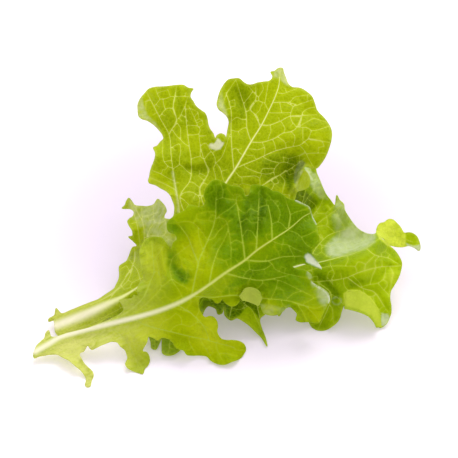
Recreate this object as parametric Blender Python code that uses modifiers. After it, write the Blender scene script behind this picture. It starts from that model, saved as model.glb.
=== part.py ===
"""Oak leaf lettuce: a loose bunch of three lobed leaves that lie over one another.

Each leaf is drawn flat, as seen from the front and VIEW_ELEVATION above the table, as points
(right, down) in drawing steps. Heights above the table stand it up in the round. The sheet is
cut to its margin, its margins are waved and curled, and then it is thickened on its underside.
"""

import math

import bpy
import numpy as np
from mathutils import Vector
from mathutils.geometry import delaunay_2d_cdt

# Driving dimensions, in metres and degrees
DRAWING_STEP = 0.0005
MM = 0.001
VIEW_ELEVATION = math.radians(40.0)
BLADE_THICKNESS = 0.7 * MM
MARGIN_SPACING = 2.4 * MM
BLADE_SPACING = 3.2 * MM
MARGIN_CLEARANCE = 1.8 * MM
FOLD_SPACING = 1.8 * MM
FOLD_CLEARANCE = 0.7 * MM
FOLD_ROWS = (0.0, 0.25, 0.5, 0.75, 1.0)
CLEAR_OF_FIXED_SHARE = 0.6

# The blade stands up between its sunken veins, and its margin is waved
QUILT_RISE = 1.3 * MM
QUILT_REACH = 4.5 * MM
WAVE_HEIGHT = 2.0 * MM
WAVE_LENGTHS = (24.0 * MM, 13.0 * MM)
SHORT_WAVE_SHARE = 0.6
SHORT_WAVE_PHASE = 2.3
WAVE_REACH = 7.0 * MM
WAVE_BLUR = 4.0 * MM
WAVE_FREE_OF_RIB = 8.0 * MM
RIB_CROWN = 0.25

# Leaf colours in linear light, and the satin surface of a fresh leaf
DEEP_GREEN = (0.19, 0.33, 0.003)
YELLOW_GREEN = (0.38, 0.48, 0.003)
BRIGHT_GREEN = (0.3, 0.42, 0.004)
SATIN = 0.45

# How freely the heights are followed, and how close counts as on a line, in drawing steps
HEIGHT_SCALE = 100.0
HEIGHT_SLACK = 0.0005
ON_THE_LINE = 0.01
TINY = 1e-6

# The drawing point that stands over the middle of the bunch's box, and the box middle's distance
# behind the drawing's own base line
DRAWING_MIDDLE_RIGHT = 225.9
DRAWING_BASE_LINE = 370.0
MIDDLE_BEHIND_BASE_LINE = 65.3 * MM

# Front leaf: on top, stem end at the left, tip at the right
FRONT_MARGIN = [
    (35, 357), (34, 353), (35, 349), (37, 345), (41, 341), (45, 337), (46, 333), (49, 330),
    (52, 336), (70, 332), (90, 327), (105, 321), (118, 315), (124, 310), (122, 304), (120, 300),
    (127, 299), (133, 298), (134, 295), (138, 296), (138, 288), (140, 283), (144, 278),
    (142, 270), (141, 262), (140, 250), (143, 244), (147, 239), (153, 237), (162, 238),
    (166, 243), (171, 249), (173, 243), (177, 239), (175, 234), (169, 232), (167, 227),
    (168, 222), (172, 218), (178, 214), (184, 211), (190, 205), (198, 207), (202, 207),
    (206, 201), (204, 196), (205, 191), (208, 186), (211, 182), (216, 180), (221, 181),
    (226, 184), (232, 186), (239, 187), (243, 190), (245, 196), (248, 196), (250, 193),
    (251, 186), (255, 185), (262, 186), (268, 188), (272, 191), (278, 192), (284, 196),
    (288, 199), (297, 201), (303, 204), (309, 207), (311, 212), (313, 218), (316, 224),
    (317, 232), (319, 240), (317, 245), (311, 251), (314, 257), (318, 263), (321, 269),
    (315, 267), (309, 265), (303, 263), (297, 264), (292, 266), (296, 269), (303, 270),
    (309, 273), (312, 277), (311, 281), (316, 285), (322, 288), (327, 292), (329, 297),
    (329, 301), (327, 304), (325, 308), (322, 315), (319, 322), (308, 322), (300, 322),
    (296, 320), (297, 314), (294, 310), (290, 307), (286, 308), (283, 311), (276, 315),
    (270, 315), (264, 313), (261.5, 308), (260, 304), (259.3, 300.8), (257.5, 305), (256, 310),
    (254.5, 314), (252, 316.6), (250, 317), (248, 316.6), (245.5, 314), (244, 310),
    (242.5, 305), (240.7, 300.8), (237, 305), (232, 306), (226, 303), (222, 299), (220, 302),
    (216, 303), (213, 300), (208, 298), (203, 297), (200, 299), (199, 305), (201, 312),
    (205, 317), (210, 316), (214, 317), (217, 321), (218, 326), (217, 331), (219, 336),
    (222, 339), (227, 340), (233, 340), (239, 341), (244, 344), (246, 349), (244, 353),
    (240, 358), (232, 361), (224, 364), (217, 363), (211, 360), (207, 356), (200, 355),
    (192, 355), (187, 354), (184, 350), (176, 347), (173, 342), (170, 339), (162, 337),
    (158, 340), (155, 338), (149, 336), (147, 342), (143, 349), (143, 351), (147, 352),
    (149, 355), (150, 360), (148, 365), (145, 368), (143, 373), (139, 372), (133, 370),
    (128, 367), (126, 363), (128, 358), (127, 353), (125, 349), (121, 346), (118, 342),
    (112, 341), (106, 343), (101, 345), (97, 347), (92, 349), (88, 345), (86, 348), (84, 351),
    (81, 352), (80, 354), (82, 358), (85, 363), (89, 367), (93, 371), (94, 375), (92, 380),
    (91, 385), (88, 386), (86, 384), (87, 379), (85, 374), (81, 369), (76, 365), (70, 360),
    (64, 357), (58, 354), (50, 354), (44, 355), (40, 355),
]
FRONT_RIB = [
    (36, 351), (50, 343), (60, 337), (80, 331), (100, 326), (120, 321), (140, 316), (160, 310),
    (180, 302), (195, 294), (210, 284), (225, 273), (245, 260), (257, 250), (275, 238),
    (290, 228), (303, 217), (310, 213),
]
FRONT_HEIGHTS = [
    (36, 351, 4.6), (60, 338, 7.5), (90, 329, 10.5), (120, 321, 14.5), (150, 313, 20),
    (180, 302, 28), (205, 288, 35), (225, 273, 40), (257, 250, 46), (290, 228, 51),
    (312, 212, 52), (52, 337, 7.5), (118, 315, 17), (122, 300, 22), (138, 290, 25),
    (142, 262, 33), (153, 239, 39), (171, 249, 38), (168, 224, 49), (184, 211, 54),
    (205, 196, 58), (216, 181, 62), (240, 188, 60), (246, 197, 57), (262, 187, 62),
    (288, 199, 59), (311, 211, 54), (318, 232, 48), (317, 244, 44), (170, 275, 33),
    (193, 262, 40), (197, 235, 47), (220, 232, 46), (215, 208, 53), (245, 222, 55),
    (258, 212, 57), (280, 212, 56), (292, 266, 38), (306, 258, 39), (320, 268, 34),
    (311, 281, 30), (300, 285, 31), (328, 298, 22), (325, 309, 15), (318, 322, 8),
    (300, 321, 8), (294, 309, 15), (275, 313, 12), (262, 306, 17), (250, 304, 19),
    (250, 290, 25), (232, 305, 20), (222, 299, 23), (205, 298, 25), (240, 280, 33),
    (262, 275, 34), (280, 280, 32), (275, 295, 24), (308, 300, 21), (200, 312, 21),
    (217, 328, 11), (246, 348, 1.5), (228, 345, 3.5), (224, 363, -0.6), (236, 358, 0.3),
    (205, 340, 7.5), (200, 354, 1.8), (187, 353, 3.5), (185, 335, 11), (173, 341, 9),
    (158, 338, 11), (148, 337, 10), (135, 336, 11), (150, 358, 1.2), (142, 370, -0.8),
    (130, 366, 0), (126, 347, 7), (112, 341, 8), (97, 346, 6), (84, 350, 5), (86, 360, 2.5),
    (92, 374, 0), (88, 384, -0.8), (76, 363, 4), (60, 354, 5), (44, 354, 4),
]
FRONT_RIB_WIDTH = [(36, 4.5), (60, 4.5), (120, 3.8), (180, 3.2), (225, 2.2), (290, 1.2), (310, 0.8)]
FRONT_RIB_DEPTH = [(36, 3.6), (60, 3.6), (120, 3.0), (180, 2.4), (225, 1.7), (290, 1.0), (310, 0.7)]

FRONT_VEINS = [
    [(192, 293), (197, 270), (200, 258), (208, 240), (215, 220), (216, 198)],
    [(198, 262), (193, 250), (188, 237), (180, 226)],
    [(110, 322), (130, 310), (143, 298), (150, 283), (154, 272), (153, 258), (152, 243)],
    [(245, 260), (243, 243), (240, 222), (236, 200)],
    [(256, 251), (257, 235), (258, 215), (259, 198)],
    [(272, 239), (271, 220), (268, 205)],
    [(288, 229), (290, 215), (287, 205)],
    [(209, 285), (213, 265), (218, 250)],
    [(133, 319), (150, 326), (170, 331), (190, 336), (205, 339), (215, 342), (234, 347)],
    [(104, 325), (115, 330), (125, 340), (133, 352), (139, 366)],
    [(52, 344), (68, 352), (78, 362), (87, 374), (89, 382)],
    [(245, 260), (266, 261), (281, 257), (300, 256)],
    [(225, 273), (245, 278), (262, 280), (285, 276)],
    [(192, 296), (213, 297), (235, 295), (262, 298), (290, 301), (310, 307)],
    [(176, 304), (190, 312), (203, 325), (210, 341)],
]
FRONT_TURNS = [
    {
        "fold": [(240.7, 300.6), (245.5, 299.5), (250, 299.2), (254.5, 299.5), (259.3, 300.6)],
        "part": [(240.3, 298), (259.6, 298), (258.8, 305), (257, 319), (243, 319), (241.2, 305)],
        "radius": 1.0, "turn": 168.0,
    },
]
FRONT_LEAF = {
    "margin": FRONT_MARGIN, "rib": FRONT_RIB, "veins": FRONT_VEINS, "heights": FRONT_HEIGHTS,
    "rib_width": FRONT_RIB_WIDTH, "rib_depth": FRONT_RIB_DEPTH, "turns": FRONT_TURNS, "phase": 0.4,
}

# Back leaf: leans back behind the front one, with the broad white rib
BACK_MARGIN = [
    (60, 336), (57, 333), (55, 330), (54, 322), (53, 318), (48, 320), (49, 318), (54, 315),
    (56, 308), (59, 311), (62, 313), (70, 310), (80, 306), (90, 302), (98, 299), (104, 295),
    (110, 291), (114, 288), (116, 284), (118, 280), (119, 275), (119, 266), (123, 263),
    (126, 261), (128, 257), (130, 251), (132, 247), (136, 246), (133, 242), (128, 237),
    (132, 236), (132, 231), (129, 226), (127, 221), (129, 218), (132, 216), (133, 212),
    (130, 209), (121, 208), (124, 205), (125, 202), (128, 198), (131, 201), (134, 205),
    (140, 206), (147, 206), (153, 204), (157, 199), (161, 202), (165, 207), (166, 211),
    (164, 215), (164, 218), (167, 219), (170, 219), (173, 216), (174, 211), (174, 206),
    (172, 200), (170, 195), (166, 191), (160, 188), (155, 185), (149, 183), (148, 181),
    (149, 176), (150, 170), (153, 162), (155, 156), (155, 152), (153, 147), (157, 145),
    (160, 141), (163, 138), (162, 134), (158, 129), (153, 124), (147, 120), (141, 118),
    (138, 115), (137, 108), (137, 103), (140, 97), (144, 92), (148, 88), (155, 86), (162, 86),
    (170, 85), (177, 84), (183, 84), (188, 87), (193, 88), (191, 91), (190, 96), (193, 101),
    (196, 106), (201, 110), (205, 113), (207, 118), (208, 124), (210, 129), (213, 133),
    (215, 138), (217, 135), (221, 133), (225, 135), (226, 138), (227, 134), (228, 128),
    (229, 121), (227, 116), (223, 112), (219, 109), (217, 104), (218, 98), (220, 91), (223, 85),
    (228, 79), (233, 78), (239, 78), (244, 82), (248, 84), (252, 84), (258, 82), (264, 81),
    (270, 80), (273, 76), (271, 71), (275, 70), (279, 67), (283, 67), (284, 71), (286, 76),
    (288, 82), (292, 86), (300, 87), (307, 91), (312, 96), (315, 103), (317, 109), (319, 112),
    (324, 117), (328, 122), (331, 128), (332, 134), (331, 141), (329, 148), (327, 154),
    (324, 160), (321, 164), (317, 168), (311, 168), (306, 165), (303, 170), (300, 175),
    (298, 181), (295, 187), (291, 192), (297, 189), (301, 184), (303, 177), (306, 171),
    (309, 175), (311, 180), (309, 185), (303, 188), (298, 191), (296, 195), (295, 200),
    (293, 206), (290, 213), (285, 219), (278, 223), (271, 221), (265, 226), (264, 234),
    (258, 241), (249, 246), (240, 245), (235, 239), (230, 243), (231, 253), (226, 262),
    (217, 268), (208, 268), (203, 261), (197, 266), (196, 276), (190, 284), (181, 290),
    (172, 288), (166, 292), (158, 300), (148, 305), (138, 303), (130, 308), (119, 316),
    (108, 318), (98, 325), (88, 329), (76, 334), (66, 337),
]
BACK_RIB = [
    (57, 325), (70, 320), (90, 312), (105, 305), (120, 298), (135, 289), (150, 278), (165, 265),
    (182, 247), (200, 226), (213, 205), (225, 184), (237, 166), (245, 152), (252, 140),
    (262, 124), (270, 108), (275, 97), (279, 85), (280, 76),
]
BACK_HEIGHTS = [
    (56, 324, 4.6), (75, 318, 6.6), (90, 312, 8.5), (120, 298, 13), (150, 278, 19.5),
    (165, 265, 24), (185, 244, 32), (200, 226, 38), (213, 205, 44), (225, 184, 50),
    (237, 166, 55), (252, 140, 62), (270, 108, 70), (279, 85, 75), (280, 70, 76),
    (60, 311, 6), (98, 299, 10), (118, 281, 11), (119, 266, 9), (128, 258, 8), (134, 247, 7),
    (146, 262, 18), (165, 240, 28), (145, 225, 23), (130, 236, 17), (129, 222, 19),
    (123, 205, 19), (140, 207, 25), (157, 201, 30), (166, 212, 34), (174, 212, 41),
    (170, 195, 45), (149, 181, 45), (171, 190, 45), (153, 150, 53), (171, 150, 56),
    (161, 138, 55), (137, 108, 58), (150, 88, 67), (170, 85, 70), (165, 115, 63),
    (192, 90, 70), (196, 106, 67), (190, 130, 60), (209, 130, 62), (214, 150, 58),
    (205, 170, 50), (221, 136, 62), (229, 121, 66), (218, 103, 71), (232, 79, 77),
    (240, 100, 70), (240, 130, 63), (255, 84, 76), (273, 78, 78), (290, 86, 75), (311, 96, 73),
    (300, 118, 70), (331, 133, 66), (318, 166, 54), (300, 145, 64), (280, 160, 58),
    (288, 165, 53), (293, 176, 47), (299, 163, 50), (301, 173, 53), (296, 186, 50),
    (309, 178, 46), (302, 187, 44), (293, 202, 40), (265, 190, 50),
    (282, 221, 38), (262, 237, 33), (240, 243, 30), (245, 205, 43), (222, 240, 32),
    (217, 266, 26), (190, 282, 18.5), (160, 298, 12), (126, 312, 7.5), (90, 328, 4.5),
    (66, 336, 4.2),
]
BACK_RIB_WIDTH = [(57, 7.0), (80, 6.5), (120, 5.5), (165, 4.2), (225, 2.6), (262, 1.6), (281, 0.8)]
BACK_RIB_DEPTH = [(57, 3.6), (80, 3.6), (120, 3.2), (165, 2.8), (225, 2.0), (262, 1.2), (281, 0.7)]

BACK_VEINS = [
    [(182, 247), (179, 208), (176, 190), (173, 172), (171, 155), (169, 135), (160, 118), (149, 97)],
    [(195, 232), (180, 197), (190, 180), (191, 160), (189, 145), (187, 130), (185, 105)],
    [(169, 133), (176, 120), (173, 105), (175, 92)],
    [(207, 215), (200, 188), (208, 173), (204, 160), (200, 145)],
    [(234, 170), (232, 150), (231, 130), (231, 110), (226, 92)],
    [(251, 141), (247, 128), (246, 112), (240, 92)],
    [(238, 167), (255, 160), (275, 151), (290, 147), (300, 145), (309, 139), (322, 141)],
    [(252, 142), (262, 142), (275, 138), (283, 133), (292, 131), (297, 127), (303, 112)],
    [(261, 124), (268, 125), (280, 121), (290, 116), (305, 115)],
    [(273, 102), (288, 102), (296, 104)],
    [(260, 127), (257, 116), (250, 108), (256, 98), (256, 90)],
    [(225, 186), (245, 196), (263, 185), (278, 176), (286, 170)],
    [(150, 278), (146, 255), (144, 243), (143, 225), (137, 212)],
    [(105, 305), (124, 280), (133, 264), (134, 252)],
    [(200, 226), (225, 225), (250, 222), (275, 212)],
    [(165, 265), (185, 268), (205, 262), (218, 252)],
]
BACK_TURNS = [
    {
        "slide": (-3.0, 0.5, -4.0), "over": 6.0,
        "fold": [(291, 193), (297, 191)],
        "part": [
            (292, 191.5), (296.5, 188), (301, 179.5), (304.5, 170), (307, 168.6), (316, 176),
            (314, 190), (298, 192.5), (294, 193.5),
        ],
    },
]
BACK_LEAF = {
    "margin": BACK_MARGIN, "rib": BACK_RIB, "veins": BACK_VEINS, "heights": BACK_HEIGHTS,
    "rib_width": BACK_RIB_WIDTH, "rib_depth": BACK_RIB_DEPTH, "turns": BACK_TURNS, "phase": 1.9,
}

# Under leaf: the lowest, running out to the right
UNDER_MARGIN = [
    (96, 325), (96, 319), (108, 313), (120, 309), (135, 304), (146, 298), (152, 290),
    (160, 287), (166, 291), (172, 292), (178, 287), (182, 278), (190, 272), (198, 274),
    (203, 281), (208, 280), (209, 270), (206, 261), (210, 252), (217, 247), (225, 243),
    (231, 247), (235, 256), (240, 257), (243, 249), (241, 240), (243, 231), (249, 223),
    (257, 217), (265, 214), (272, 218), (274, 227), (277, 236), (282, 237), (285, 229),
    (284, 221), (289, 211), (295, 203), (299, 193), (302, 182), (303, 173), (306, 167),
    (310, 169), (316, 169), (317, 173), (320, 179), (323, 187), (327, 195), (331, 200),
    (335, 205), (337, 195), (340, 200), (344, 204), (345, 210), (349, 217), (354, 224),
    (360, 230), (366, 233), (372, 234), (376, 233), (378, 227), (381, 223), (386, 222),
    (391, 219), (396, 221), (401, 227), (405, 233), (413, 233), (417, 236), (420, 241),
    (421, 248), (420, 251), (416, 248), (410, 245), (400, 247), (394, 246), (388, 243),
    (381, 238), (386, 245), (391, 248), (396, 252), (400, 257), (402, 264), (401, 271),
    (398, 279), (394, 286), (391, 291), (390, 298), (391, 306), (391, 313), (389, 319),
    (387, 323), (384, 326), (381, 328), (375, 328), (369, 326), (364, 325), (358, 326),
    (354, 328), (350, 328), (346, 325), (345, 318), (344.8, 311), (344, 304.5), (342.5, 308),
    (341, 313), (340, 317), (337, 322), (331, 327), (325, 330), (318, 330), (312, 327),
    (309, 322), (306, 316), (300, 312), (292, 304), (284, 310), (279, 316), (276, 310),
    (270, 306), (266, 313), (260, 319), (262, 328), (265, 336), (267, 346), (262, 338),
    (256, 332), (250, 326), (243, 321), (237, 318), (231, 320), (225, 315), (224, 308),
    (222, 313), (218, 314), (216, 309), (213, 307), (208, 306), (205, 309), (203, 313),
    (200, 320), (194, 332), (188, 342), (181, 349), (174, 354), (168, 355), (163, 353),
    (162, 346), (162, 338), (159, 344), (156, 349), (152, 348), (151, 342), (148, 334),
    (142, 328), (130, 325), (118, 327), (106, 329),
]
UNDER_RIB = [
    (97, 322), (120, 315), (150, 305), (185, 294), (220, 284), (255, 275), (280, 270),
    (294, 267), (305, 264), (320, 262), (340, 257), (352, 254), (366, 248), (376, 241),
    (385, 236), (400, 240), (412, 243),
]
UNDER_HEIGHTS = [
    (97, 322, 2.6), (120, 315, 3.2), (150, 305, 5.5), (185, 294, 9), (220, 284, 13),
    (260, 273, 17.5), (294, 267, 21), (320, 262, 24), (345, 256, 27), (353, 254, 28),
    (362, 250, 29), (370, 245, 29), (376, 239, 29), (345, 250, 22), (353, 248, 22),
    (361, 243, 22.5), (368, 238, 23.5), (106, 328, 2.8), (142, 328, 3), (160, 288, 6),
    (192, 273, 6), (207, 262, 3), (216, 249, 0), (226, 245, -1), (242, 235, -0.6),
    (249, 224, -1), (257, 219, -1), (266, 216, 0), (279, 233, 9), (286, 219, 9), (298, 196, 20),
    (303, 173, 27), (312, 169, 28), (320, 180, 29), (331, 201, 27), (338, 198, 30),
    (345, 212, 28), (360, 231, 25), (374, 234, 26), (250, 250, 8), (320, 225, 20),
    (335, 242, 20), (300, 245, 15), (380, 226, 27), (392, 221, 29), (392, 238, 22),
    (404, 236, 23), (418, 240, 20), (420, 250, 15), (330, 285, 20), (350, 279, 22),
    (372, 268, 23), (388, 250, 22), (401, 264, 18), (398, 280, 14), (391, 296, 10),
    (391, 312, 4), (386, 325, 0.6), (378, 318, 4), (362, 306, 11), (345, 304, 13),
    (354, 294, 15), (310, 285, 17), (335, 302, 13), (340, 315, 5), (331, 326, 0.5),
    (318, 329, -0.4), (311, 322, 2), (318, 306, 9), (300, 311, 8), (292, 303, 11),
    (280, 314, 6), (270, 305, 11), (260, 318, 6.5), (263, 332, 1.5), (266, 344, -0.5),
    (250, 325, 4.5), (231, 319, 8), (220, 308, 11), (204, 311, 9), (240, 300, 13),
    (185, 335, 4.5), (180, 349, 1.5), (168, 354, 0), (162, 338, 4), (154, 348, 0.2),
    (150, 335, 3.5), (160, 320, 5),
]
UNDER_VEINS = [
    [(305, 264), (311, 256), (318, 246), (328, 236), (340, 231), (352, 229)],
    [(285, 270), (310, 281), (325, 281), (345, 278), (360, 272), (380, 267), (399, 266)],
    [(348, 278), (362, 288), (374, 292), (384, 306)],
    [(366, 248), (375, 255), (388, 258), (397, 263)],
    [(255, 275), (251, 250), (253, 225)],
    [(232, 281), (224, 262), (222, 248)],
    [(268, 272), (265, 245), (265, 222)],
    [(285, 269), (294, 240), (300, 215), (310, 175)],
    [(298, 228), (318, 210), (324, 198)],
    [(294, 240), (305, 235), (320, 222), (336, 210)],
    [(318, 282), (331, 294), (328, 308), (320, 325)],
    [(240, 279), (234, 297), (230, 315)],
    [(252, 276), (257, 305), (264, 335)],
    [(195, 291), (192, 280)],
    [(214, 286), (214, 268), (213, 256)],
    [(150, 305), (155, 325), (155, 345)],
    [(172, 298), (172, 325), (169, 350)],
    [(185, 294), (190, 318), (184, 342)],
]
UNDER_TURNS = [
    {
        "fold": [(343.5, 303.5), (352, 303.5), (361, 305), (368, 309), (375, 316), (380.5, 325)],
        "part": [
            (343.3, 301), (352, 301), (363, 302), (372, 307), (379, 315), (384, 326), (380, 332),
            (343, 332), (343.9, 308),
        ],
        "radius": 1.4, "turn": 165.0,
    },
    {
        "slide": (-3.0, -1.5, -5.0), "over": 9.0,
        "fold": [(375, 233), (382, 240.5)],
        "part": [
            (375, 234), (374, 222), (384, 214), (404, 214), (424, 232), (424, 256), (400, 249.5),
            (389, 246), (382, 239.8), (378, 237.5),
        ],
    },
]
UNDER_RIB_WIDTH = [(97, 3.6), (150, 3.2), (220, 2.6), (294, 2.0), (352, 1.2), (412, 0.8)]
UNDER_RIB_DEPTH = [(97, 2.4), (150, 2.4), (220, 2.2), (294, 1.8), (352, 1.1), (412, 0.7)]
UNDER_LEAF = {
    "margin": UNDER_MARGIN, "rib": UNDER_RIB, "veins": UNDER_VEINS, "heights": UNDER_HEIGHTS,
    "rib_width": UNDER_RIB_WIDTH, "rib_depth": UNDER_RIB_DEPTH, "turns": UNDER_TURNS, "phase": 3.1,
}


def split_margin(points, spacing):
    """The margin's points, with long stretches split to the spacing, all in drawing steps."""
    out = []
    for start, end in zip(points, points[1:] + points[:1]):
        start, end = np.array(start, float), np.array(end, float)
        pieces = max(1, round(float(np.linalg.norm(end - start)) / spacing))
        out.extend(start + (end - start) * k / pieces for k in range(pieces))
    return np.array(out)


def inside(points, polygon):
    """Which points lie inside a closed polygon."""
    polygon = np.asarray(polygon, float)
    result = np.zeros(len(points), bool)
    for (x0, y0), (x1, y1) in zip(polygon, np.roll(polygon, -1, axis=0)):
        crosses = (y0 > points[:, 1]) != (y1 > points[:, 1])
        if y0 != y1:
            where = x0 + (points[:, 1] - y0) * (x1 - x0) / (y1 - y0)
            result ^= crosses & (points[:, 0] < where)
    return result


def nearest_on(points, line):
    """Distance from each point to a polyline, and how far along it the nearest place is."""
    line = np.asarray(line, float)
    best = np.full(len(points), np.inf)
    along = np.zeros(len(points))
    gone = 0.0
    for start, end in zip(line[:-1], line[1:]):
        run = end - start
        length = float(np.linalg.norm(run))
        share = np.clip((points - start) @ run / length ** 2, 0.0, 1.0)
        distance = np.linalg.norm(points - start - share[:, None] * run, axis=1)
        closer = distance < best
        best[closer] = distance[closer]
        along[closer] = gone + share[closer] * length
        gone += length
    return best, along


def smooth_heights(controls, points):
    """Heights of a thin plate that passes through every control height."""
    controls = np.array(controls, float)
    places, heights = controls[:, :2] / HEIGHT_SCALE, controls[:, 2]

    def bend(distance):
        return np.where(distance > 0, distance ** 2 * np.log(np.maximum(distance, TINY)), 0.0)

    count = len(places)
    system = np.zeros((count + 3, count + 3))
    apart = np.linalg.norm(places[:, None] - places[None], axis=2)
    plane = np.column_stack([np.ones(count), places])
    system[:count, :count] = bend(apart) + np.eye(count) * HEIGHT_SLACK
    system[:count, count:] = plane
    system[count:, :count] = plane.T
    weights = np.linalg.solve(system, np.concatenate([heights, np.zeros(3)]))
    scaled = points / HEIGHT_SCALE
    reach = np.linalg.norm(scaled[:, None] - places[None], axis=2)
    return bend(reach) @ weights[:count] + weights[count] + scaled @ weights[count + 1:]


def rows_past_fold(turn):
    """Rows of points where the sheet bends round a fold."""
    fold = np.array(turn["fold"], float)
    bend = turn["radius"] * MM / DRAWING_STEP * math.radians(turn["turn"])
    line = split_margin([tuple(place) for place in fold], FOLD_SPACING / DRAWING_STEP)
    line = line[nearest_on(line, fold)[0] < ON_THE_LINE]
    middle = np.mean(np.array(turn["part"], float), axis=0)
    runs = np.gradient(line, axis=0)
    across = np.column_stack([-runs[:, 1], runs[:, 0]])
    across /= np.linalg.norm(across, axis=1)[:, None]
    across *= np.sign(((middle - line.mean(axis=0)) * across.mean(axis=0)).sum())
    return np.vstack([line + across * bend * share for share in FOLD_ROWS])


def leaf_sheet(margin, rib, turns):
    """Flat points and triangles that fill the margin, with points along the rib and the folds."""
    step = DRAWING_STEP
    edge = split_margin(margin, MARGIN_SPACING / step)
    spacing = BLADE_SPACING / step
    low, high = edge.min(axis=0), edge.max(axis=0)
    rows = np.arange(low[1], high[1], spacing * math.sqrt(0.75))
    grid = np.array([
        (x + (spacing / 2 if k % 2 else 0.0), y)
        for k, y in enumerate(rows)
        for x in np.arange(low[0], high[0], spacing)
    ])
    spine = split_margin(rib, spacing)[:-1]
    spine = spine[nearest_on(spine, rib)[0] < ON_THE_LINE]
    folds = [rows_past_fold(turn) for turn in turns if "radius" in turn]
    closed_edge = np.vstack([edge, edge[:1]])
    fixed = np.vstack([spine] + folds)
    fixed = fixed[inside(fixed, edge) & (nearest_on(fixed, closed_edge)[0] > FOLD_CLEARANCE / step)]
    keep = inside(grid, edge) & (nearest_on(grid, closed_edge)[0] > MARGIN_CLEARANCE / step)
    from_fixed = np.linalg.norm(grid[:, None] - fixed[None], axis=2).min(axis=1)
    keep &= from_fixed > spacing * CLEAR_OF_FIXED_SHARE
    points = np.vstack([edge, fixed, grid[keep]])
    outline = [(k, (k + 1) % len(edge)) for k in range(len(edge))]
    flat, _, triangles, _, _, _ = delaunay_2d_cdt(
        [Vector((x, -y)) for x, y in points], outline, [], 1, TINY
    )
    return np.array([(p.x, -p.y) for p in flat]), triangles


def along_rib(table, right):
    """A rib measure given at some places along the drawing, in millimetres, at any place."""
    places, values = zip(*table)
    return np.interp(right, places, values)


def margin_wave(points, margin, phase):
    """How far the margin's waves lift each point, in metres."""
    gaps = np.linalg.norm(margin - np.roll(margin, 1, axis=0), axis=1) * DRAWING_STEP
    along = np.cumsum(gaps)
    long_wave, short_wave = (2 * math.pi / length for length in WAVE_LENGTHS)
    waves = np.sin(long_wave * along + phase)
    waves += SHORT_WAVE_SHARE * np.sin(short_wave * along + SHORT_WAVE_PHASE * phase)
    apart = np.linalg.norm(points[:, None] - margin[None], axis=2) * DRAWING_STEP
    share = 1.0 / (apart ** 2 + WAVE_BLUR ** 2) ** 2
    blurred = (share * waves).sum(axis=1) / share.sum(axis=1)
    return WAVE_HEIGHT * blurred * np.exp(-(apart.min(axis=1) / WAVE_REACH))


def quilting(points, veins):
    """How far the blade stands up between its veins, in metres."""
    gap = np.min([nearest_on(points, vein)[0] for vein in veins], axis=0) * DRAWING_STEP
    return QUILT_RISE * (1.0 - np.exp(-((gap / QUILT_REACH) ** 2)))


def turn_over(points, turn):
    """Moves the part beyond a fold: rolled up over the blade, or slid as a whole.

    Returns where the points go in the drawing, and how far each one rises.
    """
    fold = np.array(turn["fold"], float)
    moved = points.copy()
    rise = np.zeros(len(points))
    beyond, along = nearest_on(points, fold)
    chosen = inside(points, turn["part"])
    runs = fold[1:] - fold[:-1]
    lengths = np.linalg.norm(runs, axis=1)
    starts = np.concatenate([[0.0], np.cumsum(lengths)])
    piece = np.clip(np.searchsorted(starts, along, side="right") - 1, 0, len(runs) - 1)
    foot = fold[piece] + runs[piece] * ((along - starts[piece]) / lengths[piece])[:, None]
    if "slide" in turn:
        share = np.clip(beyond / turn["over"], 0.0, 1.0)
        share = np.where(chosen, share * share * (3.0 - 2.0 * share), 0.0)
        right, down, up = turn["slide"]
        return moved + share[:, None] * np.array([right, down]), share * up * MM
    outward = points - foot
    reach = np.linalg.norm(outward, axis=1)
    outward = outward / np.maximum(reach, TINY)[:, None]
    side = outward[:, 0] * runs[piece][:, 1] - outward[:, 1] * runs[piece][:, 0]
    chosen &= side < 0
    radius = turn["radius"] * MM / DRAWING_STEP
    angle = np.minimum(reach / radius, math.radians(turn["turn"]))
    straight = reach - radius * angle
    forward = radius * np.sin(angle) + straight * np.cos(angle)
    toward_eye = radius * (1.0 - np.cos(angle)) + straight * np.sin(angle)
    moved[chosen] = (foot + outward * forward[:, None])[chosen]
    rise[chosen] = toward_eye[chosen] * DRAWING_STEP * math.sin(VIEW_ELEVATION)
    return moved, rise


def stand_up(points, heights):
    """Drawing points and heights above the table, in metres, as places in space."""
    right = (points[:, 0] - DRAWING_MIDDLE_RIGHT) * DRAWING_STEP
    up_picture = (DRAWING_BASE_LINE - points[:, 1]) * DRAWING_STEP
    back = (up_picture - heights * math.cos(VIEW_ELEVATION)) / math.sin(VIEW_ELEVATION)
    return np.column_stack([right, back - MIDDLE_BEHIND_BASE_LINE, heights])


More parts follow.
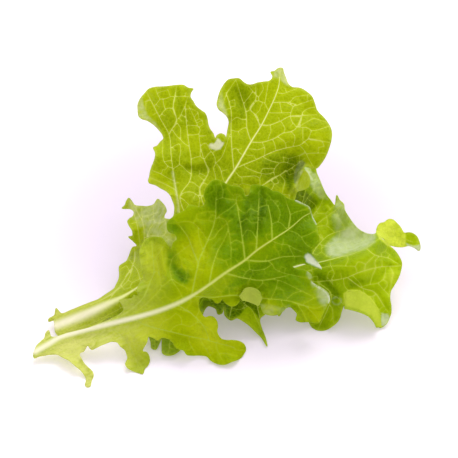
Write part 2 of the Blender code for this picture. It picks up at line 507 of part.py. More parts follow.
def make_leaf(collection, name, drawn, material):
    """One leaf as a solid: its blade, and its rib swelling out of the underside."""
    rib = drawn["rib"]
    points, triangles = leaf_sheet(drawn["margin"], rib, drawn["turns"])
    margin = split_margin(drawn["margin"], MARGIN_SPACING / DRAWING_STEP)
    from_rib = nearest_on(points, rib)[0] * DRAWING_STEP
    half = along_rib(drawn["rib_width"], points[:, 0]) * MM
    depth = along_rib(drawn["rib_depth"], points[:, 0]) * MM
    swell = np.clip(1.0 - (from_rib / half) ** 2, 0.0, 1.0)
    thickness = BLADE_THICKNESS + (depth - BLADE_THICKNESS).clip(0.0) * swell
    free = np.clip((from_rib - half) / WAVE_FREE_OF_RIB, 0.0, 1.0)
    lift = margin_wave(points, margin, drawn["phase"]) + quilting(points, drawn["veins"])
    placed = points
    for turn in drawn["turns"]:
        moved, rise = turn_over(points, turn)
        placed = placed + moved - points
        lift = lift + rise
    crown = RIB_CROWN * (thickness - BLADE_THICKNESS)
    height = smooth_heights(drawn["heights"], placed) * MM + lift * free + crown

    # Nothing goes through the table: where the leaf touches it, it lies flat on it
    height = np.maximum(height, thickness)
    mesh = bpy.data.meshes.new(name)
    mesh.from_pydata(stand_up(placed, height).tolist(), [], triangles)
    mesh.materials.append(material)
    leaf = bpy.data.objects.new(name, mesh)
    collection.objects.link(leaf)
    thickest = float(thickness.max())
    group = leaf.vertex_groups.new(name="rib")
    for index, value in enumerate(thickness):
        weight = (value - BLADE_THICKNESS) / (thickest - BLADE_THICKNESS)
        group.add([index], float(weight), "REPLACE")
    solid = leaf.modifiers.new("blade and rib", "SOLIDIFY")
    solid.thickness = thickest
    solid.offset = -1.0
    solid.vertex_group = group.name
    solid.thickness_vertex_group = BLADE_THICKNESS / thickest
    mesh.shade_smooth()


def leaf_material(name, colour, roughness):
    material = bpy.data.materials.new(name)
    material.use_nodes = True
    shader = material.node_tree.nodes["Principled BSDF"]
    shader.inputs["Base Color"].default_value = (*colour, 1.0)
    shader.inputs["Roughness"].default_value = roughness
    shader.inputs["Metallic"].default_value = 0.0
    return material


def main():
    for thing in list(bpy.data.objects):
        bpy.data.objects.remove(thing, do_unlink=True)
    bunch = bpy.data.collections.new("oak leaf lettuce")
    bpy.context.scene.collection.children.link(bunch)
    front_green = leaf_material("front leaf green", DEEP_GREEN, SATIN)
    back_green = leaf_material("back leaf green", YELLOW_GREEN, SATIN)
    under_green = leaf_material("under leaf green", BRIGHT_GREEN, SATIN)
    make_leaf(bunch, "front_leaf", FRONT_LEAF, front_green)
    make_leaf(bunch, "back_leaf", BACK_LEAF, back_green)
    make_leaf(bunch, "under_leaf", UNDER_LEAF, under_green)


main()
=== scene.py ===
"""Oak leaf lettuce: three lobed, waved leaves of a loose bunch, fresh and satin, on a pale table.

Each leaf is drawn flat, as seen from the front and VIEW_ELEVATION above the table, as points
(right, down) in drawing steps. Heights above the table stand it up in the round.
"""

import math

import bpy
import numpy as np
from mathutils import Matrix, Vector, noise
from mathutils.geometry import delaunay_2d_cdt
from mathutils.kdtree import KDTree


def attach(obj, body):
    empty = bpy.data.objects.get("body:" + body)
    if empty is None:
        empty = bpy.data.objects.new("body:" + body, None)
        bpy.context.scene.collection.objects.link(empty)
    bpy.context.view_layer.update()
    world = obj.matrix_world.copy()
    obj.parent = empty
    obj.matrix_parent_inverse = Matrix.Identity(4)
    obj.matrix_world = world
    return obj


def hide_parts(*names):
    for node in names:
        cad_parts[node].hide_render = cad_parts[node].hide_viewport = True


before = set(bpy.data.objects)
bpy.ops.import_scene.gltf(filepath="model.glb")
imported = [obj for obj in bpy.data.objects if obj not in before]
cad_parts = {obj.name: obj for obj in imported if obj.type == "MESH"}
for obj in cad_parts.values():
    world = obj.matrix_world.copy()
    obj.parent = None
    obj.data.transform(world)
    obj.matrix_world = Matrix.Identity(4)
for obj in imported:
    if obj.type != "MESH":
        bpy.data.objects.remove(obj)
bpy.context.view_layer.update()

# The drawing: one step in metres, the angle above the table that it is seen from, and places in steps
MM = 0.001
DRAWING_STEP = 0.5 * MM
VIEW_ELEVATION = math.radians(40.0)
DRAWING_MIDDLE_RIGHT = 225.9
DRAWING_BASE_LINE = 370.0
DRAWING_CENTRE = 229.0
DRAWING_WIDTH = 458.0
MIDDLE_BEHIND_BASE_LINE = 65.3 * MM

# The blade and its rim, in metres
BLADE_THICKNESS = 0.5 * MM
MARGIN_THICKNESS = 0.34 * MM
MARGIN_TAPER = 2.5 * MM
EDGE_ROUNDING = 0.22 * MM

# How finely the sheet is filled, in drawing steps: as fine as shows each vein
BLADE_SPACING = 1.2
MERGE = 0.5
CLEAR_SHARE = 0.62
ROW_SHARE = math.sqrt(0.75)
FOLD_ROWS = 17
LANDING_PIECES = 8

# The blade stands up between its sunken veins, its margin is waved and crimped, and its rib is raised
QUILT_REACH = 4.5 * MM
PUCKER_REACH = 1.7 * MM
WAVE_SPACING = 2.4 * MM
WAVE_HEIGHT = 2.0 * MM
WAVE_LENGTHS = (24.0 * MM, 13.0 * MM)
SHORT_WAVE_SHARE = 0.6
SHORT_WAVE_PHASE = 2.3
WAVE_REACH = 7.0 * MM
WAVE_BLUR = 4.0 * MM
WAVE_FREE_OF_RIB = 8.0 * MM
WAVE_BATCHES = 12
CRIMP_HEIGHT = 0.6 * MM
CRIMP_LENGTHS = (6.5 * MM, 4.1 * MM)
CRIMP_REACH = 2.6 * MM
CRIMP_BLUR = 1.6 * MM
WRINKLE_SIZE = 7.0
RIB_CROWN = 0.25
RIB_SHOULDER = 1.5

# The net of small veins where none is drawn, in drawing steps
NET_CELL = 11.0
NET_JITTER = 0.36
NET_CLEAR_OF_VEINS = 3.8
NET_CLEAR_OF_MARGIN = 3.0
NET_SHORTEST = 1.5
NET_JOIN = 8.0
RUN_ON_STEPS = 11
RUN_ON_JOINT = 1.4

# How freely the heights are followed, and how short counts as nothing, in drawing steps
HEIGHT_SCALE = 100.0
HEIGHT_SLACK = 0.0005
TINY = 1e-6

# How even the underside is, and how far from veins and rib is far enough to tell the finish
NORMAL_PASSES = 12
FAR_FROM_VEIN = 6.0
FAR_FROM_RIB = 12.0
RIM_UNDERSIDE = 0.5

# The wax film and the thin blade. Streaks and flecks are drawn out by a stretch along each axis
UPRIGHT_STRETCH = (1.0, 0.35, 0.35)
STREAK_STRETCH = (14.0, 1.0, 1.0)
PATCH_TONE = 0.8
DEEPEST_TONE = -1.0
BRIGHTEST_TONE = 2.0
STRIPE_CONTRAST = 2.6
STRIPE_START = -0.3
# Contrast of the streaks in the painted sheen, pale colour standing in for highlights and reflections
PAINTED_SHEEN_CONTRAST = 5.0
UNDERSIDE_SHARE = 0.6
GRAIN_SHARE = 0.8
BLADE_RELIEF = 0.6
RIB_RELIEF = 0.1
RELIEF_DEPTH = 0.2 * MM
WAX_ROUGHNESS = 0.38
UNDERSIDE_ROUGHNESS = 0.6
WAX_IOR = 1.45
WAX_SHINE = 0.18
WAX_TINT = "#F0FF70"
GLOW_SHARE = 0.55
RIB_LETS_THROUGH = 0.12

# Node settings and socket numbers that come back often
SMOOTHLY = {"interpolation_type": "SMOOTHSTEP"}
IN_COLOUR = {"data_type": "RGBA"}
MULTIPLY = {"operation": "MULTIPLY"}
MULTIPLY_CLAMPED = {"operation": "MULTIPLY", "use_clamp": True}
MULTIPLY_ADD = {"operation": "MULTIPLY_ADD"}
AMOUNT, UNDER, OVER = 0, 6, 7
MIXED = 2

# In each leaf's tables, heights are right, down and millimetres above the table. Rib widths are half
# widths, and they and rib depths are a place to the right and millimetres

# Front leaf: on top, stem end at the left, tip at the right
FRONT_MARGIN = [
    (35, 357), (34, 353), (35, 349), (37, 345), (41, 341), (45, 337), (46, 333), (49, 330), (52, 336),
    (70, 332), (90, 327), (105, 321), (118, 315), (124, 310), (122, 304), (120, 300), (127, 299),
    (133, 298), (134, 295), (138, 296), (138, 288), (140, 283), (144, 278), (142, 270), (141, 262),
    (140, 250), (143, 244), (147, 239), (153, 237), (162, 238), (166, 243), (171, 249), (173, 243),
    (177, 239), (175, 234), (169, 232), (167, 227), (168, 222), (172, 218), (178, 214), (184, 211),
    (190, 205), (198, 207), (202, 207), (206, 201), (204, 196), (205, 191), (208, 186), (211, 182),
    (216, 180), (221, 181), (226, 184), (232, 186), (239, 187), (243, 190), (245, 196), (248, 196),
    (250, 193), (251, 186), (255, 185), (262, 186), (268, 188), (272, 191), (278, 192), (284, 196),
    (288, 199), (297, 201), (303, 204), (309, 207), (311, 212), (313, 218), (316, 224), (317, 232),
    (319, 240), (317, 245), (311, 251), (314, 257), (318, 263), (321, 269), (315, 267), (309, 265),
    (303, 263), (297, 264), (292, 266), (296, 269), (303, 270), (309, 273), (312, 277), (311, 281),
    (316, 285), (322, 288), (327, 292), (329, 297), (329, 301), (327, 304), (325, 308), (322, 315),
    (319, 322), (308, 322), (300, 322), (296, 320), (297, 314), (294, 310), (290, 307), (286, 308),
    (283, 311), (276, 315), (270, 315), (264, 313), (262, 309), (260.3, 304), (259.7, 303.3), (258.8, 308),
    (257.6, 312.4), (252, 310.6), (247.3, 308.6), (243, 307.4), (239.2, 307.2), (240.2, 302.5),
    (241, 298.5), (238.8, 302), (236.3, 304.6), (232, 306), (226, 303), (222, 299), (220, 302), (216, 303),
    (213, 300), (208, 298), (203, 297), (200, 299), (199, 305), (201, 312), (205, 317), (210, 316),
    (214, 317), (217, 321), (218, 326), (217, 331), (219, 336), (222, 339), (227, 340), (233, 340),
    (239, 341), (244, 344), (246, 349), (244, 353), (240, 358), (232, 361), (224, 364), (217, 363),
    (211, 360), (207, 356), (200, 355), (192, 355), (187, 354), (184, 350), (176, 347), (173, 342),
    (170, 339), (162, 337), (158, 340), (155, 338), (149, 336), (147, 342), (143, 349), (143, 351),
    (147, 352), (149, 355), (150, 360), (148, 365), (145, 368), (143, 373), (139, 372), (133, 370),
    (128, 367), (126, 363), (128, 358), (127, 353), (125, 349), (121, 346), (118, 342), (112, 341),
    (106, 343), (101, 345), (97, 347), (92, 349), (88, 345), (86, 348), (84, 351), (81, 352), (80, 354),
    (82, 358), (85, 363), (89, 367), (93, 371), (94, 375), (92, 380), (91, 385), (88, 386), (86, 384),
    (87, 379), (85, 374), (81, 369), (76, 365), (70, 360), (64, 357), (58, 354), (50, 354), (44, 355),
    (40, 355),
]
FRONT_RIB = [
    (36, 351), (50, 343), (60, 337), (80, 331), (100, 326), (120, 321), (140, 316), (160, 310), (180, 302),
    (195, 294), (210, 284), (225, 273), (245, 260), (257, 250), (275, 238), (290, 228), (303, 217),
    (310, 213),
]
FRONT_HEIGHTS = [
    (36, 351, 4.6), (60, 338, 7.5), (90, 329, 10.5), (120, 321, 14.5), (150, 313, 20), (180, 302, 28),
    (205, 288, 35), (225, 273, 40), (257, 250, 46), (290, 228, 51), (312, 212, 52), (52, 337, 7.5),
    (118, 315, 17), (122, 300, 22), (138, 290, 25), (142, 262, 33), (153, 239, 39), (171, 249, 38),
    (168, 224, 49), (184, 211, 54), (205, 196, 58), (216, 181, 62), (240, 188, 60), (246, 197, 57),
    (262, 187, 62), (288, 199, 59), (311, 211, 54), (318, 232, 48), (317, 244, 44), (170, 275, 33),
    (193, 262, 40), (197, 235, 47), (220, 232, 46), (215, 208, 53), (245, 222, 55), (258, 212, 57),
    (280, 212, 56), (292, 266, 38), (306, 258, 39), (320, 268, 34), (311, 281, 30), (300, 285, 31),
    (328, 298, 22), (325, 309, 15), (318, 322, 8), (300, 321, 8), (294, 309, 15), (275, 313, 12),
    (262, 306, 17), (250, 304, 19), (250, 290, 25), (232, 305, 20), (222, 299, 23), (205, 298, 25),
    (240, 280, 33), (262, 275, 34), (280, 280, 32), (275, 295, 24), (308, 300, 21), (200, 312, 21),
    (217, 328, 11), (246, 348, 1.5), (228, 345, 3.5), (224, 363, -0.6), (236, 358, 0.3), (205, 340, 7.5),
    (200, 354, 1.8), (187, 353, 3.5), (185, 335, 11), (173, 341, 9), (158, 338, 11), (148, 337, 10),
    (135, 336, 11), (150, 358, 1.2), (142, 370, -0.8), (130, 366, 0), (126, 347, 7), (112, 341, 8),
    (97, 346, 6), (84, 350, 5), (86, 360, 2.5), (92, 374, 0), (88, 384, -0.8), (76, 363, 4), (60, 354, 5),
    (44, 354, 4),
]
FRONT_RIB_WIDTH = [(36, 4.5), (60, 4.5), (120, 3.8), (180, 3.2), (225, 2.2), (290, 1.2), (310, 0.8)]
FRONT_RIB_DEPTH = [(36, 3.6), (60, 3.6), (120, 3.0), (180, 2.4), (225, 1.7), (290, 1.0), (310, 0.7)]

FRONT_VEINS = [
    [(192, 293), (197, 270), (200, 258), (208, 240), (215, 220), (216, 198)],
    [(198, 262), (193, 250), (188, 237), (180, 226)],
    [(110, 322), (130, 310), (143, 298), (150, 283), (154, 272), (153, 258), (152, 243)],
    [(245, 260), (243, 243), (240, 222), (236, 200)],
    [(256, 251), (257, 235), (258, 215), (259, 198)],
    [(272, 239), (271, 220), (268, 205)],
    [(288, 229), (290, 215), (287, 205)],
    [(209, 285), (213, 265), (218, 250)],
    [(133, 319), (150, 326), (170, 331), (190, 336), (205, 339), (215, 342), (234, 347)],
    [(104, 325), (115, 330), (125, 340), (133, 352), (139, 366)],
    [(52, 344), (68, 352), (78, 362), (87, 374), (89, 382)],
    [(245, 260), (266, 261), (281, 257), (300, 256)],
    [(225, 273), (245, 278), (262, 280), (285, 276)],
    [(192, 296), (213, 297), (235, 295), (262, 298), (290, 301), (310, 307)],
    [(176, 304), (190, 312), (203, 325), (210, 341)],
]

# Turned parts. A rolled one has its fold, the line where its margin lands, the outline of the part,
# its flat width, the roll's radius in millimetres and its turn in degrees. A slid one moves right,
# down and up, the last in millimetres, gaining that over a width past its fold
FRONT_TURNS = [
    {
        "fold": [(241, 298.4), (244, 298), (248, 298.8), (252, 300.2), (256, 301.8), (259.6, 303.3)],
        "lands": [(238.8, 296), (241, 290.5), (247.5, 287), (254, 287.5), (260, 291.5), (262.2, 298.5)],
        "part": [
            (241, 297.5), (259.9, 302.6), (259.3, 308), (258.2, 313.5), (238.4, 308.6), (239.4, 302.6),
            (240.3, 299),
        ],
        "flat_width": 9.0, "radius": 1.0, "turn": 168.0,
    },
]

# Back leaf: leans back behind the front one, with the broad white rib
BACK_MARGIN = [
    (60, 336), (57, 333), (55, 330), (54, 322), (53, 318), (48, 320), (49, 318), (54, 315), (56, 308),
    (59, 311), (62, 313), (70, 310), (80, 306), (90, 302), (98, 299), (104, 295), (110, 291), (114, 288),
    (116, 284), (118, 280), (119, 275), (119, 266), (123, 263), (126, 261), (128, 257), (130, 251),
    (132, 247), (136, 246), (133, 242), (128, 237), (132, 236), (132, 231), (129, 226), (127, 221),
    (129, 218), (132, 216), (133, 212), (130, 209), (121, 208), (124, 205), (125, 202), (128, 198),
    (131, 201), (134, 205), (140, 206), (147, 206), (153, 204), (157, 199), (161, 202), (165, 207),
    (166, 211), (164, 215), (164, 218), (167, 219), (170, 219), (173, 216), (174, 211), (174, 206),
    (172, 200), (170, 195), (166, 191), (160, 188), (155, 185), (149, 183), (148, 181), (149, 176),
    (150, 170), (153, 162), (155, 156), (155, 152), (153, 147), (157, 145), (160, 141), (163, 138),
    (162, 134), (158, 129), (153, 124), (147, 120), (141, 118), (138, 115), (137, 108), (137, 103),
    (140, 97), (144, 92), (148, 88), (155, 86), (162, 86), (170, 85), (177, 84), (183, 84), (188, 87),
    (193, 88), (191, 91), (190, 96), (193, 101), (196, 106), (201, 110), (205, 113), (207, 118), (208, 124),
    (210, 129), (213, 133), (215, 138), (217, 135), (221, 133), (225, 135), (226, 138), (227, 134),
    (228, 128), (229, 121), (227, 116), (223, 112), (219, 109), (217, 104), (218, 98), (220, 91), (223, 85),
    (228, 79), (233, 78), (239, 78), (244, 82), (248, 84), (252, 84), (258, 82), (264, 81), (270, 80),
    (273, 76), (271, 71), (275, 70), (279, 67), (283, 67), (284, 71), (286, 76), (288, 82), (292, 86),
    (300, 87), (307, 91), (312, 96), (315, 103), (317, 109), (319, 112), (324, 117), (328, 122), (331, 128),
    (332, 134), (331, 141), (329, 148), (327, 154), (324, 160), (321, 164), (317, 168), (311, 168),
    (306, 165), (303, 170), (300, 175), (298, 181), (295, 187), (291, 192), (296.5, 188.6), (300.3, 183),
    (302.3, 177), (305.5, 170.6), (308, 169.8), (310.5, 172), (312.8, 176), (313.7, 181), (312.4, 186),
    (308.5, 188.8), (303, 190.2), (298, 191.8), (296, 195), (295, 200), (293, 206), (290, 213), (285, 219),
    (278, 223), (271, 221), (265, 226), (264, 234), (258, 241), (249, 246), (240, 245), (235, 239),
    (230, 243), (231, 253), (226, 262), (217, 268), (208, 268), (203, 261), (197, 266), (196, 276),
    (190, 284), (181, 290), (172, 288), (166, 292), (158, 300), (148, 305), (138, 303), (130, 308),
    (119, 316), (108, 318), (98, 325), (88, 329), (76, 334), (66, 337),
]
BACK_RIB = [
    (57, 325), (70, 320), (90, 312), (105, 305), (120, 298), (135, 289), (150, 278), (165, 265), (182, 247),
    (200, 226), (213, 205), (225, 184), (237, 166), (245, 152), (252, 140), (262, 124), (270, 108),
    (275, 97), (279, 85), (280, 76),
]
BACK_HEIGHTS = [
    (56, 324, 4.6), (75, 318, 6.6), (90, 312, 8.5), (120, 298, 13), (150, 278, 19.5), (165, 265, 24),
    (185, 244, 32), (200, 226, 38), (213, 205, 44), (225, 184, 50), (237, 166, 55), (252, 140, 62),
    (270, 108, 70), (279, 85, 75), (280, 70, 76), (60, 311, 6), (98, 299, 10), (118, 281, 11),
    (119, 266, 9), (128, 258, 8), (134, 247, 7), (146, 262, 18), (165, 240, 28), (145, 225, 23),
    (130, 236, 17), (129, 222, 19), (123, 205, 19), (140, 207, 25), (157, 201, 30), (166, 212, 34),
    (174, 212, 41), (170, 195, 45), (149, 181, 45), (171, 190, 45), (153, 150, 53), (171, 150, 56),
    (161, 138, 55), (137, 108, 58), (150, 88, 67), (170, 85, 70), (165, 115, 63), (192, 90, 70),
    (196, 106, 67), (190, 130, 60), (209, 130, 62), (214, 150, 58), (205, 170, 50), (221, 136, 62),
    (229, 121, 66), (218, 103, 71), (232, 79, 77), (240, 100, 70), (240, 130, 63), (255, 84, 76),
    (273, 78, 78), (290, 86, 75), (311, 96, 73), (300, 118, 70), (331, 133, 66), (318, 166, 54),
    (300, 145, 64), (280, 160, 58), (288, 165, 53), (293, 176, 47), (299, 163, 50), (301, 173, 53),
    (296, 186, 50), (309, 178, 46), (302, 187, 44), (293, 202, 40), (265, 190, 50), (282, 221, 38),
    (262, 237, 33), (240, 243, 30), (245, 205, 43), (222, 240, 32), (217, 266, 26), (190, 282, 18.5),
    (160, 298, 12), (126, 312, 7.5), (90, 328, 4.5), (66, 336, 4.2),
]
BACK_RIB_WIDTH = [(57, 7.0), (80, 6.5), (120, 5.5), (165, 4.2), (225, 2.6), (262, 1.6), (281, 0.8)]
BACK_RIB_DEPTH = [(57, 3.6), (80, 3.6), (120, 3.2), (165, 2.8), (225, 2.0), (262, 1.2), (281, 0.7)]

BACK_VEINS = [
    [(182, 247), (179, 208), (176, 190), (173, 172), (171, 155), (169, 135), (160, 118), (149, 97)],
    [(195, 232), (180, 197), (190, 180), (191, 160), (189, 145), (187, 130), (185, 105)],
    [(169, 133), (176, 120), (173, 105), (175, 92)],
    [(207, 215), (200, 188), (208, 173), (204, 160), (200, 145)],
    [(234, 170), (232, 150), (231, 130), (231, 110), (226, 92)],
    [(251, 141), (247, 128), (246, 112), (240, 92)],
    [(238, 167), (255, 160), (275, 151), (290, 147), (300, 145), (309, 139), (322, 141)],
    [(252, 142), (262, 142), (275, 138), (283, 133), (292, 131), (297, 127), (303, 112)],
    [(261, 124), (268, 125), (280, 121), (290, 116), (305, 115)],
    [(273, 102), (288, 102), (296, 104)],
    [(260, 127), (257, 116), (250, 108), (256, 98), (256, 90)],
    [(225, 186), (245, 196), (263, 185), (278, 176), (286, 170)],
    [(150, 278), (146, 255), (144, 243), (143, 225), (137, 212)],
    [(105, 305), (124, 280), (133, 264), (134, 252)],
    [(200, 226), (225, 225), (250, 222), (275, 212)],
    [(165, 265), (185, 268), (205, 262), (218, 252)],
]
BACK_TURNS = [
    {
        "slide": (-3.0, 0.5, -4.0), "over": 6.0,
        "fold": [(291, 193), (297, 191)],
        "part": [
            (292, 191.5), (296.2, 187.6), (300.2, 179.5), (303.9, 170), (307, 167.8), (317, 175),
            (316, 191), (298, 193), (294, 193.5),
        ],
    },
]

# Under leaf: the lowest, running out to the right
UNDER_MARGIN = [
    (96, 325), (96, 319), (108, 313), (120, 309), (135, 304), (146, 298), (152, 290), (160, 287),
    (166, 291), (172, 292), (178, 287), (182, 278), (190, 272), (198, 274), (203, 281), (208, 280),
    (209, 270), (206, 261), (210, 252), (217, 247), (225, 243), (231, 247), (235, 256), (240, 257),
    (243, 249), (241, 240), (243, 231), (249, 223), (257, 217), (265, 214), (272, 218), (274, 227),
    (277, 236), (282, 237), (285, 229), (283, 220), (285, 211), (289, 202), (293, 192), (297, 181),
    (300, 172), (304, 163.5), (310, 164.5), (315.6, 165.5), (316.6, 169.5), (317.4, 173), (320, 179),
    (323, 187), (327, 195), (331, 200), (335, 205), (337, 195), (340, 200), (344, 204), (345, 210),
    (349, 217), (354, 224), (360, 230), (366, 233), (372, 234), (376, 233), (377.6, 223.2), (380.5, 218.4),
    (385.5, 217), (388, 214.8), (391, 213.8), (394, 214.6), (397.5, 218), (401, 222), (405, 228),
    (409, 227.6), (413, 228.2), (417, 231), (419.5, 235), (421.5, 243), (420, 246), (416, 243.3),
    (410, 241), (403, 242), (396, 241.5), (388, 239.3), (381, 237.3), (386, 241.5), (391, 246.2),
    (395, 250), (399, 255.5), (402, 263), (401, 271), (398, 279), (394, 286), (391, 291), (390, 298),
    (391, 306), (391, 313), (389, 319), (387, 323), (384, 326), (381, 327.8), (375, 330), (368.7, 332),
    (366, 327.4), (364, 324.7), (361.9, 322.9), (358.9, 321.6), (354.9, 320.2), (350, 318.9), (345, 317.9),
    (344.5, 311), (344, 304.8), (342.5, 308), (341, 313), (340, 317), (337, 322), (331, 327), (325, 330),
    (318, 330), (312, 327), (309, 322), (306, 316), (300, 312), (292, 304), (284, 310), (279, 316),
    (276, 310), (270, 306), (266, 313), (260, 319), (262, 328), (265, 336), (267, 346), (262, 338),
    (256, 332), (250, 326), (243, 321), (237, 318), (231, 320), (225, 315), (224, 308), (222, 313),
    (218, 314), (216, 309), (213, 307), (208, 306), (205, 309), (203, 313), (200, 320), (194, 332),
    (188, 342), (181, 349), (174, 354), (168, 355), (163, 353), (162, 346), (162, 338), (159, 344),
    (156, 349), (152, 348), (151, 342), (148, 334), (142, 328), (130, 325), (118, 327), (106, 329),
]
UNDER_RIB = [
    (97, 322), (120, 315), (150, 305), (185, 294), (220, 284), (255, 275), (280, 270), (294, 267),
    (305, 264), (320, 262), (340, 257), (352, 254), (366, 248), (374, 242.5),
]
UNDER_HEIGHTS = [
    (97, 322, 2.6), (120, 315, 3.2), (150, 305, 5.5), (185, 294, 9), (220, 284, 13), (260, 273, 17.5),
    (294, 267, 21), (320, 262, 24), (345, 256, 27), (353, 254, 28), (362, 250, 29), (370, 245, 29),
    (376, 239, 29), (345, 250, 22), (353, 248, 22), (361, 243, 22.5), (368, 238, 23.5), (106, 328, 2.8),
    (142, 328, 3), (160, 288, 6), (192, 273, 6), (207, 262, 3), (216, 249, 0), (226, 245, -1),
    (242, 235, -0.6), (249, 224, -1), (257, 219, -1), (266, 216, 0), (279, 233, 9), (286, 219, 9),
    (298, 196, 20), (303, 173, 27), (312, 169, 28), (320, 180, 29), (331, 201, 27), (338, 198, 30),
    (345, 212, 28), (360, 231, 25), (374, 234, 26), (250, 250, 8), (320, 225, 20), (335, 242, 20),
    (300, 245, 15), (380, 226, 27), (392, 221, 29), (392, 238, 22), (404, 236, 23), (418, 240, 20),
    (420, 250, 15), (330, 285, 20), (350, 279, 22), (372, 268, 23), (388, 250, 22), (401, 264, 18),
    (398, 280, 14), (391, 296, 10), (391, 312, 4), (386, 325, 0.6), (378, 318, 4), (362, 306, 11),
    (345, 304, 13), (354, 294, 15), (310, 285, 17), (335, 302, 13), (340, 315, 5), (331, 326, 0.5),
    (318, 329, -0.4), (311, 322, 2), (318, 306, 9), (300, 311, 8), (292, 303, 11), (280, 314, 6),
    (270, 305, 11), (260, 318, 6.5), (263, 332, 1.5), (266, 344, -0.5), (250, 325, 4.5), (231, 319, 8),
    (220, 308, 11), (204, 311, 9), (240, 300, 13), (185, 335, 4.5), (180, 349, 1.5), (168, 354, 0),
    (162, 338, 4), (154, 348, 0.2), (150, 335, 3.5), (160, 320, 5),
]
UNDER_VEINS = [
    [(305, 264), (311, 256), (318, 246), (328, 236), (340, 231), (352, 229)],
    [(285, 270), (310, 281), (325, 281), (345, 278), (360, 272), (380, 267), (399, 266)],
    [(348, 278), (362, 288), (374, 292), (384, 306)],
    [(366, 248), (375, 255), (388, 258), (397, 263)],
    [(255, 275), (251, 250), (253, 225)],
    [(232, 281), (224, 262), (222, 248)],
    [(268, 272), (265, 245), (265, 222)],
    [(285, 269), (294, 240), (300, 215), (310, 175)],
    [(298, 228), (318, 210), (324, 198)],
    [(294, 240), (305, 235), (320, 222), (336, 210)],
    [(318, 282), (331, 294), (328, 308), (320, 325)],
    [(240, 279), (234, 297), (230, 315)],
    [(252, 276), (257, 305), (264, 335)],
    [(195, 291), (192, 280)],
    [(214, 286), (214, 268), (213, 256)],
    [(150, 305), (155, 325), (155, 345)],
    [(172, 298), (172, 325), (169, 350)],
    [(185, 294), (190, 318), (184, 342)],
]
UNDER_TURNS = [
    {
        "fold": [
            (343.6, 305.5), (348, 306), (353, 307), (358.5, 308.5), (363.5, 310.2), (368.5, 312.6),
            (372.5, 316), (376, 320.5), (379.3, 326.5),
        ],
        "lands": [
            (343.8, 295), (347, 291.3), (353, 290.1), (359.5, 291.4), (366, 295.3), (371.5, 300.3),
            (376, 306), (379.3, 313), (381, 326),
        ],
        "part": [
            (343.4, 304.3), (348, 305), (353, 306), (358.7, 307.5), (364, 309.3), (369.2, 311.8),
            (373.3, 315.2), (377, 320), (380.3, 326.3), (381, 329), (368.5, 334), (343.2, 320),
            (343.3, 308),
        ],
        "flat_width": 12.0, "radius": 1.4, "turn": 165.0,
    },
    {
        "slide": (0.0, 5.0, -6.0), "over": 9.0,
        "fold": [(375, 233), (382, 239)],
        "part": [
            (375, 234), (374, 222), (376, 210), (404, 206), (424, 224), (425, 251), (400, 246), (391, 243),
            (386, 240.2), (382, 238.4), (378, 237.5),
        ],
    },
]
UNDER_RIB_WIDTH = [(97, 3.6), (150, 3.2), (220, 2.6), (294, 2.0), (352, 1.2), (412, 0.8)]
UNDER_RIB_DEPTH = [(97, 2.4), (150, 2.4), (220, 2.2), (294, 1.8), (352, 1.1), (412, 0.7)]

